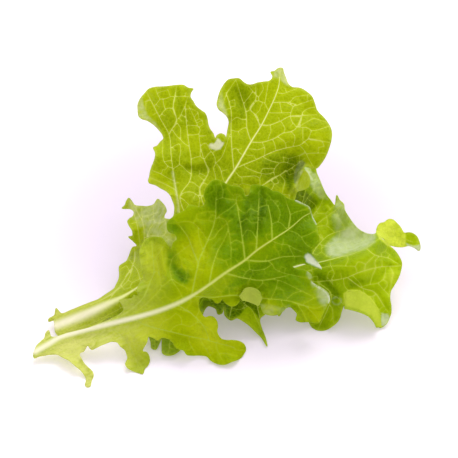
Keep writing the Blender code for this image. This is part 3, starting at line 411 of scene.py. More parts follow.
# Small veins as they show on each leaf
FRONT_SMALL_VEINS = [
    [(215.5, 219), (220, 218), (225, 220), (228, 226), (227, 233), (224, 240), (218, 250)],
    [(218, 217), (223, 213), (228, 210), (233, 206), (236, 203)],
    [(181, 222), (186, 221.5), (192, 222.5), (198, 227), (203, 233), (206.5, 239)],
    [(198, 227), (199, 236), (203, 250)],
    [(128, 318), (140, 309), (152, 298), (158, 292), (161, 287), (160.5, 280), (159.5, 272), (157, 262)],
    [(153, 276), (156.5, 271), (160, 276)],
    [(153, 258), (148, 253), (145, 247)],
    [(153, 262), (158, 255), (163, 247)],
    [(151, 281), (146, 282), (143, 280)],
    [(161, 287), (167, 283), (172, 279), (178, 283), (186, 287)],
    [(184, 300), (179, 290), (172, 279), (170, 268), (173, 258), (180, 252), (190, 245)],
    [(231, 258), (231, 247), (230, 238), (228, 226)],
    [(243, 236), (247, 230), (252, 232), (256.5, 240)],
    [(242, 243), (236, 240), (231, 243)],
    [(241, 222), (247, 219), (252, 223), (257, 222)],
    [(258, 208), (263, 206), (268, 205)],
    [(237, 205), (241, 211), (246, 213), (250, 209), (258, 212)],
    [(216, 200), (222, 198), (228, 199), (236, 200)],
    [(222, 198), (223, 191), (221, 184)],
    [(208, 240), (214, 238), (218, 232), (222, 228)],
    [(271, 225), (277, 222), (282, 224), (287, 230)],
    [(278, 222), (280, 213), (277, 206), (272, 200)],
    [(290, 215), (296, 212), (303, 210)],
    [(290, 231), (296, 233), (301, 237), (304, 242), (308, 246), (313, 248)],
    [(301, 237), (307, 235), (313, 232)],
    [(272, 241), (280, 244), (288, 245), (295, 249), (300, 251)],
    [(288, 245), (291, 251), (294, 257)],
    [(265, 260), (272, 264), (275, 269), (284, 273), (293, 275), (302, 277)],
    [(249, 263), (250, 269), (258, 270), (266, 268), (272, 264)],
    [(225, 274), (234, 276), (243, 277), (252, 279), (262, 280.5), (270, 279), (278, 280), (286, 283)],
    [(286, 283), (294, 287), (302, 291), (310, 295)],
    [(256, 289), (261, 285), (263, 280.5)],
    [(286, 300), (291, 295), (296, 292), (302, 291)],
    [(243, 277), (246, 272), (250, 269)],
    [(271, 298), (275, 290), (278, 280)],
    [(290, 301), (297, 304), (305, 306), (315, 308), (322, 306)],
    [(281, 299.5), (283, 305), (287, 307)],
    [(297, 304), (302, 311), (306, 319)],
    [(305, 306), (312, 312), (317, 318)],
    [(310, 300), (316, 297), (323, 297)],
    [(216, 342), (217, 348), (219, 353), (222, 359)],
    [(226, 344), (232, 347), (238, 350), (242, 350)],
    [(219, 353), (226, 353), (233, 355)],
    [(200, 338.5), (203, 344), (207, 350), (210, 355)],
    [(189, 336), (190, 343), (194, 350)],
    [(170, 331), (175, 326), (182, 324), (190, 326), (198, 322), (204, 325), (212, 331), (216, 338)],
    [(180, 309), (189, 312), (196, 317), (198, 322)],
    [(196, 317), (199, 311), (198, 303)],
    [(160, 328), (163, 322), (170, 318), (176, 313)],
    [(182, 324), (181, 317), (176, 313)],
    [(112, 331), (118, 336), (124, 342), (129, 350)],
    [(125, 322), (129, 330), (133, 340), (136, 352)],
    [(136, 352), (141, 356), (145, 360)],
    [(133, 352), (130, 358), (130, 364)],
    [(139, 362), (142, 366), (143, 370)],
    [(133, 340), (139, 342), (142, 338)],
    [(70, 352), (78, 360), (84, 369)],
    [(60, 341), (75, 342), (90, 340), (104, 337), (118, 336)],
    [(70, 336), (84, 335), (100, 331), (116, 328)],
    [(80, 345), (84, 347), (86, 350)],
    [(60, 336), (80, 330), (100, 323), (115, 318)],
]
BACK_SMALL_VEINS = [
    [(154, 105.5), (157, 102), (160, 98.5), (165, 98), (170, 96), (175, 96), (181, 95.5), (187, 96)],
    [(160, 98.5), (157.5, 94.5), (156, 90)],
    [(175, 96), (175.5, 90)],
    [(175, 96), (174, 101), (172.5, 108), (174, 113), (176.7, 119), (175.5, 124), (172, 129), (169, 134)],
    [(176.7, 119), (179.5, 116.5), (181.5, 112), (184, 107), (186, 101)],
    [(181, 114), (185, 117), (187.5, 120.5)],
    [(160, 115), (162.5, 111.5), (165, 109), (168, 107.5), (172.5, 108)],
    [(165, 109), (163.5, 104), (162.5, 98)],
    [(172, 129), (176, 135), (180.5, 139.5), (184, 143), (188.5, 146)],
    [(180.5, 139.5), (180.5, 133), (180, 127), (176, 121.5)],
    [(188.5, 134.5), (194, 134.5), (199, 133.5)],
    [(194, 117), (196.5, 122.5), (198, 126), (200, 129), (199, 134), (199.5, 140), (200.5, 146)],
    [(200.5, 146), (200.5, 156), (204, 159.5), (207, 165), (209.3, 170), (207.5, 174), (205, 180)],
    [(200.5, 156), (196, 157), (191.5, 158.5)],
    [(204, 159.5), (206.5, 156), (210, 152)],
    [(200.5, 146), (203, 143.5), (206, 143), (208, 146)],
    [(211, 151), (213.5, 154.5), (215, 158), (215, 164), (213.5, 168), (215, 174), (216, 181)],
    [(215, 164), (218, 161), (221, 158), (224, 152), (226, 146)],
    [(217, 164), (220, 168), (222, 175), (224, 181)],
    [(162.5, 145), (162.5, 155), (164, 161.5), (168, 166), (172.5, 168.5)],
    [(173.5, 168.5), (177.5, 165.8), (179.5, 164.5), (182.5, 166.5), (186, 170), (190, 173.5)],
    [(179.5, 164.5), (179.5, 158), (180.5, 150), (179.5, 144), (176, 144.5), (171, 148)],
    [(189.5, 181.5), (194, 183), (199.7, 187), (205, 180)],
    [(180.5, 196), (184, 192.8), (191.6, 192), (199, 197.2), (199, 206)],
    [(199.7, 187), (199, 197)],
    [(180, 197), (184, 200), (188.7, 204.5)],
    [(174.5, 181), (168, 178), (161, 174), (154, 171)],
    [(175.5, 190), (167, 185), (158, 181)],
    [(172, 160), (164, 161.5)],
    [(197, 125.5), (192, 125)],
    [(243.5, 104), (246, 100), (249, 96.5), (252, 92)],
    [(225.5, 96), (227, 92), (229, 89)],
    [(250, 109.5), (253, 105), (256, 101), (259, 100)],
    [(246.5, 111.5), (250, 109.5), (253, 112), (256, 117), (258, 121), (260, 125)],
    [(268.5, 110), (267, 107), (265, 103), (262, 101.5), (259, 100), (258.5, 97), (255, 93), (252, 89.5)],
    [(258.5, 97), (261, 93), (263.5, 88), (262.5, 84.5)],
    [(265, 103), (266, 97), (267, 91), (268, 85)],
    [(288, 103), (293, 106), (291.5, 111), (290.5, 116)],
    [(293, 106), (297, 105), (302, 103), (308, 101)],
    [(288, 103), (291, 100.5), (295, 96.5), (300, 95.5)],
    [(277, 92), (283, 93), (289, 91)],
    [(268, 112), (274, 112.5), (282, 112.5), (291, 112)],
    [(280, 103), (281, 108), (282, 112.5)],
    [
        (261, 124.5), (265, 125.5), (270, 125), (276, 122.5), (281, 120.5), (285, 118.5), (289, 116.5),
        (302, 116.5),
    ],
    [(302, 116.5), (301.5, 120), (300, 124), (297, 127)],
    [(302, 116), (304, 111), (309, 108), (314, 107)],
    [(281, 121), (283, 124), (285, 128), (284, 133)],
    [(290.5, 117), (292, 121), (295, 125)],
    [(270, 125), (271, 131), (269, 136), (268, 140)],
    [
        (297.5, 127), (303, 127.2), (307, 127.5), (311, 130.5), (310, 135), (308.5, 139), (314, 140),
        (320, 140.5),
    ],
    [(311, 130.5), (316, 130), (320, 129), (326, 127)],
    [(303, 127), (303, 133), (303, 137)],
    [(310, 120), (314, 118), (318, 119)],
    [(291.5, 132), (294.5, 135), (295, 138), (294.5, 142), (293, 146)],
    [(279, 137.5), (284, 141), (286, 145), (286, 148)],
    [(262, 142), (264.5, 147), (265, 151), (264, 156)],
    [(273, 139.5), (275, 145), (276, 151)],
    [(252, 149), (258, 149.5), (264.5, 147)],
    [(300, 145.5), (303.5, 149), (306.5, 153.5), (309, 159), (312, 164)],
    [(306.5, 153.5), (312, 153), (318, 153)],
    [(264, 157.5), (269, 160), (274, 161.5), (279, 163), (276.5, 166), (274, 171), (274.5, 174)],
    [(279, 163), (284, 162), (289, 163)],
    [(274, 168.5), (268, 168.5), (263, 168.5), (261, 172)],
    [(274, 172), (268, 174), (262, 173.5)],
    [(245, 166.5), (248, 168.5), (253, 170.5), (258, 172.5), (261.5, 173.5), (260, 178), (260, 183)],
    [(237, 173.5), (240, 176.5), (247, 176.5), (255, 176), (260, 178)],
    [(262, 186), (266, 182.5), (270, 179.5), (275, 176.5), (280, 175), (285, 172), (290, 169), (295, 165.5)],
    [(280, 175), (283, 178), (285, 181), (284, 186)],
    [(270, 179.5), (274, 184), (272, 189)],
    [(232, 120), (237, 117), (242, 119), (245.5, 119)],
    [(232, 130), (238, 131), (243, 128), (247, 127)],
    [(231.5, 150), (236, 148), (239, 152), (243, 155)],
    [(141, 207), (142, 220), (143.5, 232), (144, 243)],
    [(153, 207), (153, 215), (155, 222), (160, 223), (165, 220), (168, 217)],
    [(155, 222), (150, 228), (147, 235)],
    [(144, 238), (152, 235.5), (158, 236), (164, 235), (166, 228), (165, 221)],
    [(133, 212), (136, 222), (138, 232), (139, 241)],
    [(125, 277), (129, 271), (133, 265), (135, 256), (134, 249)],
    [(133, 265), (137, 270), (139, 275)],
    [(122, 268), (126, 266), (129, 271)],
    [(128, 259), (131, 262), (133, 265)],
    [(70, 330), (90, 324), (110, 314), (130, 303), (150, 293)],
    [(64, 332), (84, 329), (104, 321)],
    [(62, 314), (80, 308), (98, 301), (112, 293), (122, 284)],
    [(90, 305), (106, 298), (120, 288), (128, 280), (132, 270)],
    [(170, 215), (173, 224), (176, 236)],
]
UNDER_SMALL_VEINS = [
    [(354, 277), (359, 282), (362, 287), (364, 292)],
    [(362, 286.5), (370, 284.5), (378, 283), (384, 278), (386, 268)],
    [(376, 268), (375, 262), (379, 257), (388, 258)],
    [(320, 268), (331, 266), (345, 266), (355, 267), (357, 273)],
    [(331, 280), (334, 273), (331, 266), (330, 259)],
    [(345, 266), (348, 260), (347, 255)],
    [(364, 271), (366, 264), (372, 258), (375, 255)],
    [(366, 264), (358, 262), (355, 267)],
    [(343, 279), (345, 287), (350, 292)],
    [(318, 283), (321, 290), (328, 293)],
    [(331, 294), (338, 298), (342, 303)],
    [(370, 284.5), (372, 277), (376, 268)],
    [(378, 283), (383, 289), (388, 294)],
    [(390, 267), (393, 273), (392, 280)],
    [(314, 216), (318, 213.5), (326, 213), (332, 208)],
    [(312, 228), (320, 226), (327, 226), (335, 232)],
    [(318, 213.5), (316, 205), (310, 200)],
    [(304, 205), (309, 196), (314, 190), (316, 182)],
    [(300, 215), (306, 212), (312, 214)],
    [(326, 213), (328, 221), (327, 226)],
    [(322, 245), (330, 246), (338, 242), (346, 243), (354, 240)],
    [(330, 246), (332, 252), (330, 257)],
    [(338, 242), (340, 235), (340, 231)],
    [(346, 243), (347, 250)],
    [(352, 229), (357, 235), (362, 240)],
    [(384, 226), (388, 232), (392, 238), (396, 244)],
    [(388, 232), (396, 231), (402, 233)],
    [(406, 242), (411, 241), (416, 240)],
    [(378, 318), (374, 322), (366, 322)],
    [(331, 294), (325, 300), (319, 306), (314, 314)],
    [(325, 300), (332, 308), (333, 316)],
    [(240, 300), (246, 305), (252, 310), (256, 318)],
]

# Half widths in millimetres: the rib's white band from stem end to tip, the thin end of a main vein,
# a small vein and a vein of the net
FRONT_BAND = [(36, 1.8), (60, 1.6), (120, 1.4), (160, 1.3), (200, 1.0), (250, 0.5), (310, 0.16)]
BACK_BAND = [
    (57, 3.3), (80, 3.0), (105, 2.4), (118, 1.6), (126, 0.9), (140, 0.5), (225, 0.55), (262, 0.32),
    (281, 0.14),
]
UNDER_BAND = [(97, 1.2), (220, 0.9), (294, 0.65), (308, 0.5), (320, 0.35), (352, 0.26), (374, 0.12)]
VEIN_END = 0.14
SMALL_VEIN = 0.1
NET_VEIN = 0.07

# Tone of the green, from -1, deepest, over 0, deep, and 1, yellow, to 2, brightest. Besides the
# leaf's own tone it holds painted shade and painted light: minus tones are painted shade in creases,
# pockets, hollows and under other leaves, and plus tones are painted highlights and light let through.
# Spots are right, down, radius, amount; patches are amount, soft edge, outline; lines are amount,
# half width, line. Creases are lines too, with a height in millimetres as amount, minus for down
# Front leaf: painted shade on the upper lobes turned from the light and along its folds, and painted
# highlights where its lower lobes shine
FRONT_TONE_SPOTS_WITH_PAINTED_SHADE_AND_LIGHT = [
    (218, 198, 16, -0.45), (240, 226, 12, -0.6), (270, 205, 28, -0.85), (300, 228, 18, -0.6),
    (155, 262, 17, 0.8), (194, 248, 15, 0.8), (205, 270, 14, 0.4), (170, 226, 8, -0.5),
    (181, 232, 9, -0.35), (208, 332, 24, 1.2), (150, 332, 22, 1.0), (120, 338, 16, 0.6),
    (300, 252, 20, -0.5), (282, 288, 28, -0.65), (316, 313, 9, 0.5), (238, 342, 12, 0.5),
    (232, 258, 20, -0.5), (192, 290, 12, 0.3), (255, 274, 14, -0.4), (271, 309, 9, 0.8),
    (122, 362, 18, 1.0), (76, 362, 26, 1.2), (322, 262, 10, -0.4),
]
FRONT_TONE_PATCHES_WITH_PAINTED_SHADE_AND_LIGHT = [
    (-0.5, 7.0, [
        (207, 190), (214, 183), (224, 186), (226, 200), (236, 206), (234, 220), (221, 214), (208, 205),
    ]),
    (-0.35, 9.0, [(244, 196), (262, 190), (268, 215), (262, 236), (246, 240), (238, 226), (244, 212)]),
    (0.2, 6.0, [(142, 246), (156, 242), (166, 250), (168, 268), (160, 292), (150, 300), (143, 275)]),
]
# Painted shade along the front leaf's creases, and a painted highlight on the ridge beside one
FRONT_PAINTED_SHADE_AND_HIGHLIGHT_LINES = [
    (-0.75, 5.5, [(171, 256), (173, 264), (178, 272), (184, 279)]),
    (-0.5, 2.2, [(176, 272), (181, 278), (185, 281)]),
    (-0.3, 2.5, [(182, 268), (186, 274), (190, 277)]),
    (-0.45, 4.0, [(226, 292), (238, 283), (252, 272), (266, 264)]),
    (-0.35, 3.5, [(262, 190), (263, 204), (260, 218), (258, 232)]),
    (0.4, 3.0, [(175, 262), (179, 266), (184, 268)]),
    (-0.4, 3.0, [(240, 222), (246, 214), (248, 204)]),
]
FRONT_CREASES = [
    (-1.3, 4.6, [(170, 250), (172, 263), (177, 272), (184, 280)]),
    (0.9, 3.4, [(160, 250), (163, 262), (166, 275), (172, 286)]),
    (0.7, 2.6, [(180, 258), (184, 266), (190, 271)]),
    (-0.8, 3.0, [(262, 190), (263, 204), (260, 218), (258, 232)]),
    (-0.7, 2.6, [(240, 224), (246, 214), (248, 204), (246, 194)]),
    (-0.6, 2.4, [(196, 226), (203, 236), (206, 248), (205, 260)]),
    (0.6, 2.6, [(186, 229), (192, 240), (196, 254), (197, 268)]),
    (-0.6, 2.6, [(286, 262), (292, 272), (300, 280), (308, 286)]),
    (0.6, 2.6, [(276, 264), (283, 275), (291, 285)]),
    (-0.6, 2.4, [(200, 322), (206, 330), (214, 336), (224, 340)]),
]

# The grey wedge between two lobes at the back leaf's right: painted shade with a faint painted sheen over it
BACK_WEDGE = [
    (301.4, 159.2), (305.6, 163), (304.5, 166.5), (301.8, 172.6), (299.1, 178), (296.8, 184.8),
    (295.7, 186), (294.5, 183.3), (293.8, 177.6), (294.9, 171.8), (296.5, 166.5), (298.8, 161.9),
]
# Back leaf: painted shade in its pocket, creases and hollows, and painted light where its lobes are lit
# through or shine
BACK_TONE_SPOTS_WITH_PAINTED_SHADE_AND_LIGHT = [
    (285, 125, 25, 0.25), (243, 97, 13, -0.7), (150, 190, 12, 0.3), (300, 95, 14, 0.1), (320, 135, 10, 0.3),
    (212, 160, 14, -0.3), (140, 275, 20, 0.3), (195, 140, 10, 0.3), (174, 165, 14, -0.4),
    (170, 112, 12, -0.25), (142, 92, 10, 0.6), (228, 176, 12, -0.3), (258, 172, 14, -0.3),
    (152, 150, 10, 0.5), (152, 181, 8, 0.7), (164, 188, 8, 0.7), (171, 200, 8, 0.8), (247, 191, 6, 1.2),
    (304, 156, 8, 0.6), (318, 140, 8, 0.5), (312, 108, 10, 0.3), (270, 90, 12, 0.2), (170, 234, 8, 0.6),
    (133, 236, 8, 0.8), (136, 222, 6, 0.5),
]
# Painted shade along the back leaf's creases, and painted highlights on a rolled edge and on the top lobe's
# rim
BACK_PAINTED_SHADE_AND_HIGHLIGHT_LINES = [
    (-0.5, 3.5, [(187, 168), (194, 171), (201, 171), (208, 167)]),
    (-0.35, 3.0, [(176, 84), (178, 100), (182, 112), (188, 122)]),
    (0.4, 4.0, [(138, 88), (150, 84), (165, 82), (182, 86)]),
    (1.0, 0.9, [(299, 179), (296.5, 185.6), (293.4, 189.4), (290.7, 192.7), (287.6, 197.5)]),
    (-0.35, 4.0, [(238, 86), (243, 96), (246, 108), (240, 118)]),
]
BACK_CREASES = [
    (-0.8, 3.0, [(187, 168), (194, 171), (201, 171), (208, 167)]),
    (0.5, 3.0, [(186, 162), (195, 164), (204, 161)]),
    (-0.6, 3.0, [(176, 84), (178, 100), (182, 112), (188, 122)]),
    (-0.6, 3.5, [(238, 86), (243, 96), (246, 108)]),
    (-0.6, 3.0, [(176, 150), (174, 165), (170, 180)]),
    (-0.6, 3.0, [(214, 150), (222, 160), (228, 172), (230, 182)]),
    (-0.6, 3.0, [(300, 98), (306, 108), (314, 116)]),
]
# Painted shade in the dark pocket and on the grey wedge, and painted light on the small lobe beside them
BACK_TONE_PATCHES_WITH_PAINTED_SHADE_AND_LIGHT = [
    (-1.5, 6.0, [
        (287, 157), (295, 154.5), (302, 157), (300, 162), (296.5, 170), (293, 180), (292, 188), (289, 190),
        (287, 180), (286, 172),
    ]),
    (-0.9, 10.0, [(262, 160), (285, 150), (292, 160), (288, 185), (272, 186), (262, 175)]),
    (-1.6, 1.0, BACK_WEDGE),
    (0.7, 2.0, [(298.5, 189), (300, 180), (303, 171), (306, 163), (312, 165), (313, 178), (309, 189)]),
]

# Under leaf: painted shade in its creases and where the front leaf lies over it, and painted light let
# through its yellow lobe and its turned-up flap
UNDER_TONE_SPOTS_WITH_PAINTED_SHADE_AND_LIGHT = [
    (392, 275, 12, 0.9), (380, 300, 10, 0.5), (357, 276, 20, 0.5), (246, 323, 12, 0.5),
    (325, 290, 16, -0.5), (240, 330, 12, 0.2), (340, 202, 6, 0.7), (370, 262, 14, 0.4),
    (352, 280, 12, -0.25), (322, 262, 12, -0.3), (336, 320, 12, 0.3),
]
# Painted shade in lines along the under leaf's folds
UNDER_PAINTED_SHADE_LINES = [
    (-0.5, 3.0, [(330, 246), (336, 240), (345, 236)]),
    (-0.5, 3.0, [(318, 276), (330, 286), (336, 296)]),
    (-0.35, 3.0, [(352, 284), (366, 282), (380, 276), (390, 266)]),
]
UNDER_CREASES = [
    (-0.8, 3.0, [(318, 276), (330, 286), (336, 296)]),
    (-0.6, 3.0, [(352, 284), (366, 282), (380, 276), (390, 266)]),
    (0.6, 3.0, [(350, 276), (364, 274), (378, 268)]),
    (-0.6, 2.6, [(338, 214), (344, 222), (352, 230)]),
    (-0.6, 3.0, [(322, 206), (326, 216), (324, 230)]),
]
UNDER_TONE_PATCHES_WITH_PAINTED_SHADE_AND_LIGHT = [
    (-1.5, 4.0, [(294, 189), (303, 189), (312, 196), (318, 203), (314, 210), (306, 206), (294, 201)]),
    (0.6, 4.0, [
        (314, 208), (322, 201), (329, 203), (334, 208), (332, 216), (330, 228), (322, 240), (316, 240),
        (313, 225),
    ]),
    (2.2, 3.0, [
        (376, 231), (381, 221), (391, 217), (400, 224), (406, 234), (406, 248), (396, 249), (388, 246),
        (380, 239),
    ]),
    (0.4, 3.0, [(406, 231), (418, 234), (421, 243), (406, 243)]),
    (-1.6, 2.0, [
        (203, 301), (224, 300), (240, 301), (243, 297), (252, 298), (259, 301), (259.5, 319), (255, 312),
        (249, 306), (244, 309), (240, 315), (231, 321), (218, 315), (203, 310),
    ]),
    (1.4, 2.0, [
        (343, 304), (343, 293), (350, 289), (360, 290), (370, 297), (378, 308), (382, 327), (378, 326),
        (372, 315), (358, 308),
    ]),
]

# Painted sheen: pale colour standing in for highlights and silvery reflections where margins turn and lobes
# catch the light, given as the patches and lines of tone are
FRONT_PAINTED_SHEEN_PATCHES = [
    (1.0, 2.2, [
        (304, 256.5), (307.5, 253), (310.5, 254.5), (313, 258), (316.5, 261.5), (320, 265.5), (322, 268.5),
        (316, 266.5), (311.5, 264.5), (306.5, 261.5),
    ]),
    (0.3, 7.0, [
        (312, 283), (318, 286), (325, 289.5), (330, 296), (330, 304), (325, 307), (320, 302), (317, 294),
    ]),
    (0.75, 1.2, [
        (311.5, 209), (313.5, 213), (315, 218), (317, 224), (315.5, 224.5), (313, 220), (311.5, 214),
    ]),
    (0.12, 4.0, [(260, 304), (270, 305), (280, 308), (289, 305), (287, 312), (276, 316), (265, 315)]),
    (0.25, 2.0, [(307, 271), (311, 273.5), (312, 278), (309, 279), (306, 275)]),
]
FRONT_PAINTED_SHEEN_LINES = [
    (0.55, 0.8, [(296, 200.5), (303, 204), (309, 207), (311.5, 212)]),
    (0.6, 0.8, [(311.5, 281.5), (316, 286), (322, 289), (327, 293.5), (329, 298), (328.5, 304)]),
]
BACK_PAINTED_SHEEN_PATCHES = [
    (1.0, 1.0, [
        (208.5, 145), (211, 143), (214, 143.5), (216, 141), (217, 138), (219, 139), (222, 142),
        (224, 141.5), (223.5, 144.5), (221.5, 147), (220, 149), (216, 150), (213, 149.5), (210, 148),
    ]),
    (0.24, 0.8, BACK_WEDGE),
    (0.2, 4.0, [
        (150, 222), (166, 216), (169, 226), (173, 234), (178, 240), (175, 250), (168, 244), (160, 238),
        (148, 240), (142, 232),
    ]),
    (0.3, 6.0, [(128, 199), (147, 205), (157, 199), (166, 208), (160, 222), (140, 226), (130, 215)]),
    (0.3, 3.0, [
        (137, 100), (141, 95), (143, 105), (147, 115), (155, 122), (160, 130), (155, 128), (146, 120),
        (139, 116), (136, 108),
    ]),
    (0.35, 3.0, [(275, 70), (282, 66.5), (287, 76), (291, 85), (286, 84), (280, 78), (274, 76)]),
    (0.3, 3.0, [(219, 95), (222, 92), (223, 100), (226, 110), (228, 118), (224, 113), (218, 107)]),
]
BACK_PAINTED_SHEEN_LINES = [
    (0.35, 1.0, [(178.3, 212), (177.2, 199.4), (175.6, 189.4), (174, 180), (172.5, 172)]),
]
UNDER_PAINTED_SHEEN_PATCHES = [
    (0.72, 7.0, [
        (327, 246), (334, 239), (343, 233), (352, 223), (362, 231), (375, 234), (374, 241), (366, 247),
        (356, 251), (345, 255), (334, 257), (327, 254),
    ]),
    (0.35, 7.0, [
        (336, 205), (344, 202), (348, 212), (354, 222), (362, 232), (350, 236), (338, 234), (333, 220),
    ]),
    (0.5, 1.5, [(337, 195), (340, 200), (343, 206), (336, 207)]),
    (0.5, 4.0, [
        (306, 170), (313, 172), (317, 174), (321, 182), (326, 194), (328, 199), (321, 198), (315, 192),
        (311, 184), (310, 177),
    ]),
    (0.5, 1.5, [(304.5, 166.5), (311, 167.5), (313, 172), (309, 172)]),
    (0.6, 1.5, [(305.5, 168.5), (308, 170), (312, 176), (314, 180), (311, 179), (307, 174)]),
    (0.8, 1.5, [(382, 313), (388, 314), (389.5, 318), (387.5, 322), (384, 326), (381.5, 326), (381, 319)]),
    (0.85, 1.2, [
        (406, 242.5), (411, 245), (417, 246), (421, 244.5), (422, 248.5), (420, 251.5), (415, 248.5),
        (408, 246),
    ]),
]
UNDER_PAINTED_SHEEN_LINES = [
    (0.35, 0.7, [
        (332, 299), (334, 297.5), (338, 297.3), (341, 299), (341, 302), (338, 304.5), (334, 304),
        (332, 301.5),
    ]),
]

# Each leaf's drawing. Its phase shifts the waves and its seed draws the net; quilt, pucker and wrinkle
# are heights in metres, vein_root is a half width in millimetres, and the rest are shares of vein colour
FRONT_LEAF = {
    "margin": FRONT_MARGIN, "rib": FRONT_RIB, "veins": FRONT_VEINS, "small_veins": FRONT_SMALL_VEINS,
    "heights": FRONT_HEIGHTS, "turns": FRONT_TURNS, "creases": FRONT_CREASES,
    "rib_width": FRONT_RIB_WIDTH, "rib_depth": FRONT_RIB_DEPTH, "rib_band": FRONT_BAND,
    "tone_spots_with_painted_shade_and_light": FRONT_TONE_SPOTS_WITH_PAINTED_SHADE_AND_LIGHT, "tone_patches_with_painted_shade_and_light": FRONT_TONE_PATCHES_WITH_PAINTED_SHADE_AND_LIGHT, "painted_shade_and_highlight_lines": FRONT_PAINTED_SHADE_AND_HIGHLIGHT_LINES,
    "painted_sheen_patches": FRONT_PAINTED_SHEEN_PATCHES, "painted_sheen_lines": FRONT_PAINTED_SHEEN_LINES, "phase": 0.4, "seed": 11,
    "quilt": 1.5 * MM, "pucker": 0.6 * MM, "wrinkle": 0.3 * MM, "vein_root": 0.45,
    "vein_strength": 0.75, "small_strength": 0.55, "net_strength": 0.22,
}

BACK_LEAF = {
    "margin": BACK_MARGIN, "rib": BACK_RIB, "veins": BACK_VEINS, "small_veins": BACK_SMALL_VEINS,
    "heights": BACK_HEIGHTS, "turns": BACK_TURNS, "creases": BACK_CREASES,
    "rib_width": BACK_RIB_WIDTH, "rib_depth": BACK_RIB_DEPTH, "rib_band": BACK_BAND,
    "tone_spots_with_painted_shade_and_light": BACK_TONE_SPOTS_WITH_PAINTED_SHADE_AND_LIGHT, "tone_patches_with_painted_shade_and_light": BACK_TONE_PATCHES_WITH_PAINTED_SHADE_AND_LIGHT, "painted_shade_and_highlight_lines": BACK_PAINTED_SHADE_AND_HIGHLIGHT_LINES,
    "painted_sheen_patches": BACK_PAINTED_SHEEN_PATCHES, "painted_sheen_lines": BACK_PAINTED_SHEEN_LINES, "phase": 1.9, "seed": 23,
    "quilt": 0.9 * MM, "pucker": 0.4 * MM, "wrinkle": 0.3 * MM, "vein_root": 0.25,
    "vein_strength": 1.0, "small_strength": 0.9, "net_strength": 0.6,
}

UNDER_LEAF = {
    "margin": UNDER_MARGIN, "rib": UNDER_RIB, "veins": UNDER_VEINS, "small_veins": UNDER_SMALL_VEINS,
    "heights": UNDER_HEIGHTS, "turns": UNDER_TURNS, "creases": UNDER_CREASES,
    "rib_width": UNDER_RIB_WIDTH, "rib_depth": UNDER_RIB_DEPTH, "rib_band": UNDER_BAND,
    "tone_spots_with_painted_shade_and_light": UNDER_TONE_SPOTS_WITH_PAINTED_SHADE_AND_LIGHT, "tone_patches_with_painted_shade_and_light": UNDER_TONE_PATCHES_WITH_PAINTED_SHADE_AND_LIGHT, "painted_shade_and_highlight_lines": UNDER_PAINTED_SHADE_LINES,
    "painted_sheen_patches": UNDER_PAINTED_SHEEN_PATCHES, "painted_sheen_lines": UNDER_PAINTED_SHEEN_LINES, "phase": 3.1, "seed": 37,
    "quilt": 1.2 * MM, "pucker": 0.5 * MM, "wrinkle": 0.35 * MM, "vein_root": 0.3,
    "vein_strength": 0.85, "small_strength": 0.7, "net_strength": 0.5,
}

# Colours of each leaf's blade and rib, and how far the pale stem end reaches, in drawing steps. tone is
# the blade's middle tone, cell the change of tone in the middle of a cell, mottle the range of the
# mottling, and rib_turn the degrees from the right to the rib; the other numbers are shares
# The palest colour of each look paints the sheen: highlights and reflections laid on as colour
FRONT_LOOK = {
    "deepest": "#3C6400", "deep": "#709800", "yellow": "#B8C600", "brightest": "#D8DE28", "tone": 0.6,
    "cell": -0.12, "mottle": 0.35, "fine_net": 0.12, "pale_margin": 0.12, "rib_turn": 29.0,
    "light": "#B4C814", "margin": "#B8CE30", "vein": "#C2D64C", "underside": "#E4F06C",
    "stem": "#E2E288", "stem_from": 55.0, "stem_to": 180.0, "stem_share": 1.0,
    "painted_sheen_colour": "#F2F4EA", "rib": "#FAF6DC", "rib_streak": "#EEECC0", "rib_far": "#C8D464",
    "rib_white_to": 110.0, "rib_green_from": 235.0, "glow": "#DCF000", "let_through": 0.42,
}
BACK_LOOK = {
    "deepest": "#4E7200", "deep": "#88A000", "yellow": "#B8C808", "brightest": "#DCE64C", "tone": 0.75,
    "cell": -0.25, "mottle": 0.45, "fine_net": 0.3, "pale_margin": 0.5, "rib_turn": 37.0,
    "light": "#CCD828", "margin": "#D2DE58", "vein": "#E2E880", "underside": "#C8D448",
    "stem": "#CDD074", "stem_from": 50.0, "stem_to": 140.0, "stem_share": 0.9,
    "painted_sheen_colour": "#EEEED8", "rib": "#F2ECD2", "rib_streak": "#E4E2B8", "rib_far": "#EEF2A4",
    "rib_white_to": 90.0, "rib_green_from": 128.0, "glow": "#E8F400", "let_through": 0.45,
}
UNDER_LOOK = {
    "deepest": "#426A00", "deep": "#7A9E00", "yellow": "#B4CC08", "brightest": "#EAF25C", "tone": 0.62,
    "cell": -0.25, "mottle": 0.45, "fine_net": 0.25, "pale_margin": 0.4, "rib_turn": 20.0,
    "light": "#BCD018", "margin": "#CCDA48", "vein": "#DCE66C", "underside": "#CCDC4C",
    "stem": "#E6ECA8", "stem_from": 96.0, "stem_to": 190.0, "stem_share": 0.5,
    "painted_sheen_colour": "#E2EAD0", "rib": "#F6F4DC", "rib_streak": "#E8EABC", "rib_far": "#DFE880",
    "rib_white_to": 300.0, "rib_green_from": 330.0, "glow": "#E6F400", "let_through": 0.46,
}

# The table top, the light and the camera, in metres, radians and watts for each square metre
TABLE_WIDTH = 12.0
TABLE_TOP = -0.2 * MM
TABLE_GRAIN = 4.0 * MM
TABLE_ROUGHNESS = 0.85
TABLE_SHINE = 0.15
TABLE_GLOW = 0.25
TABLE_GLOW_COLOUR = "#FFFCFA"
OPAL_WHITE = "#FAF6F8"
OPAL_GRAIN = "#F8F4F6"
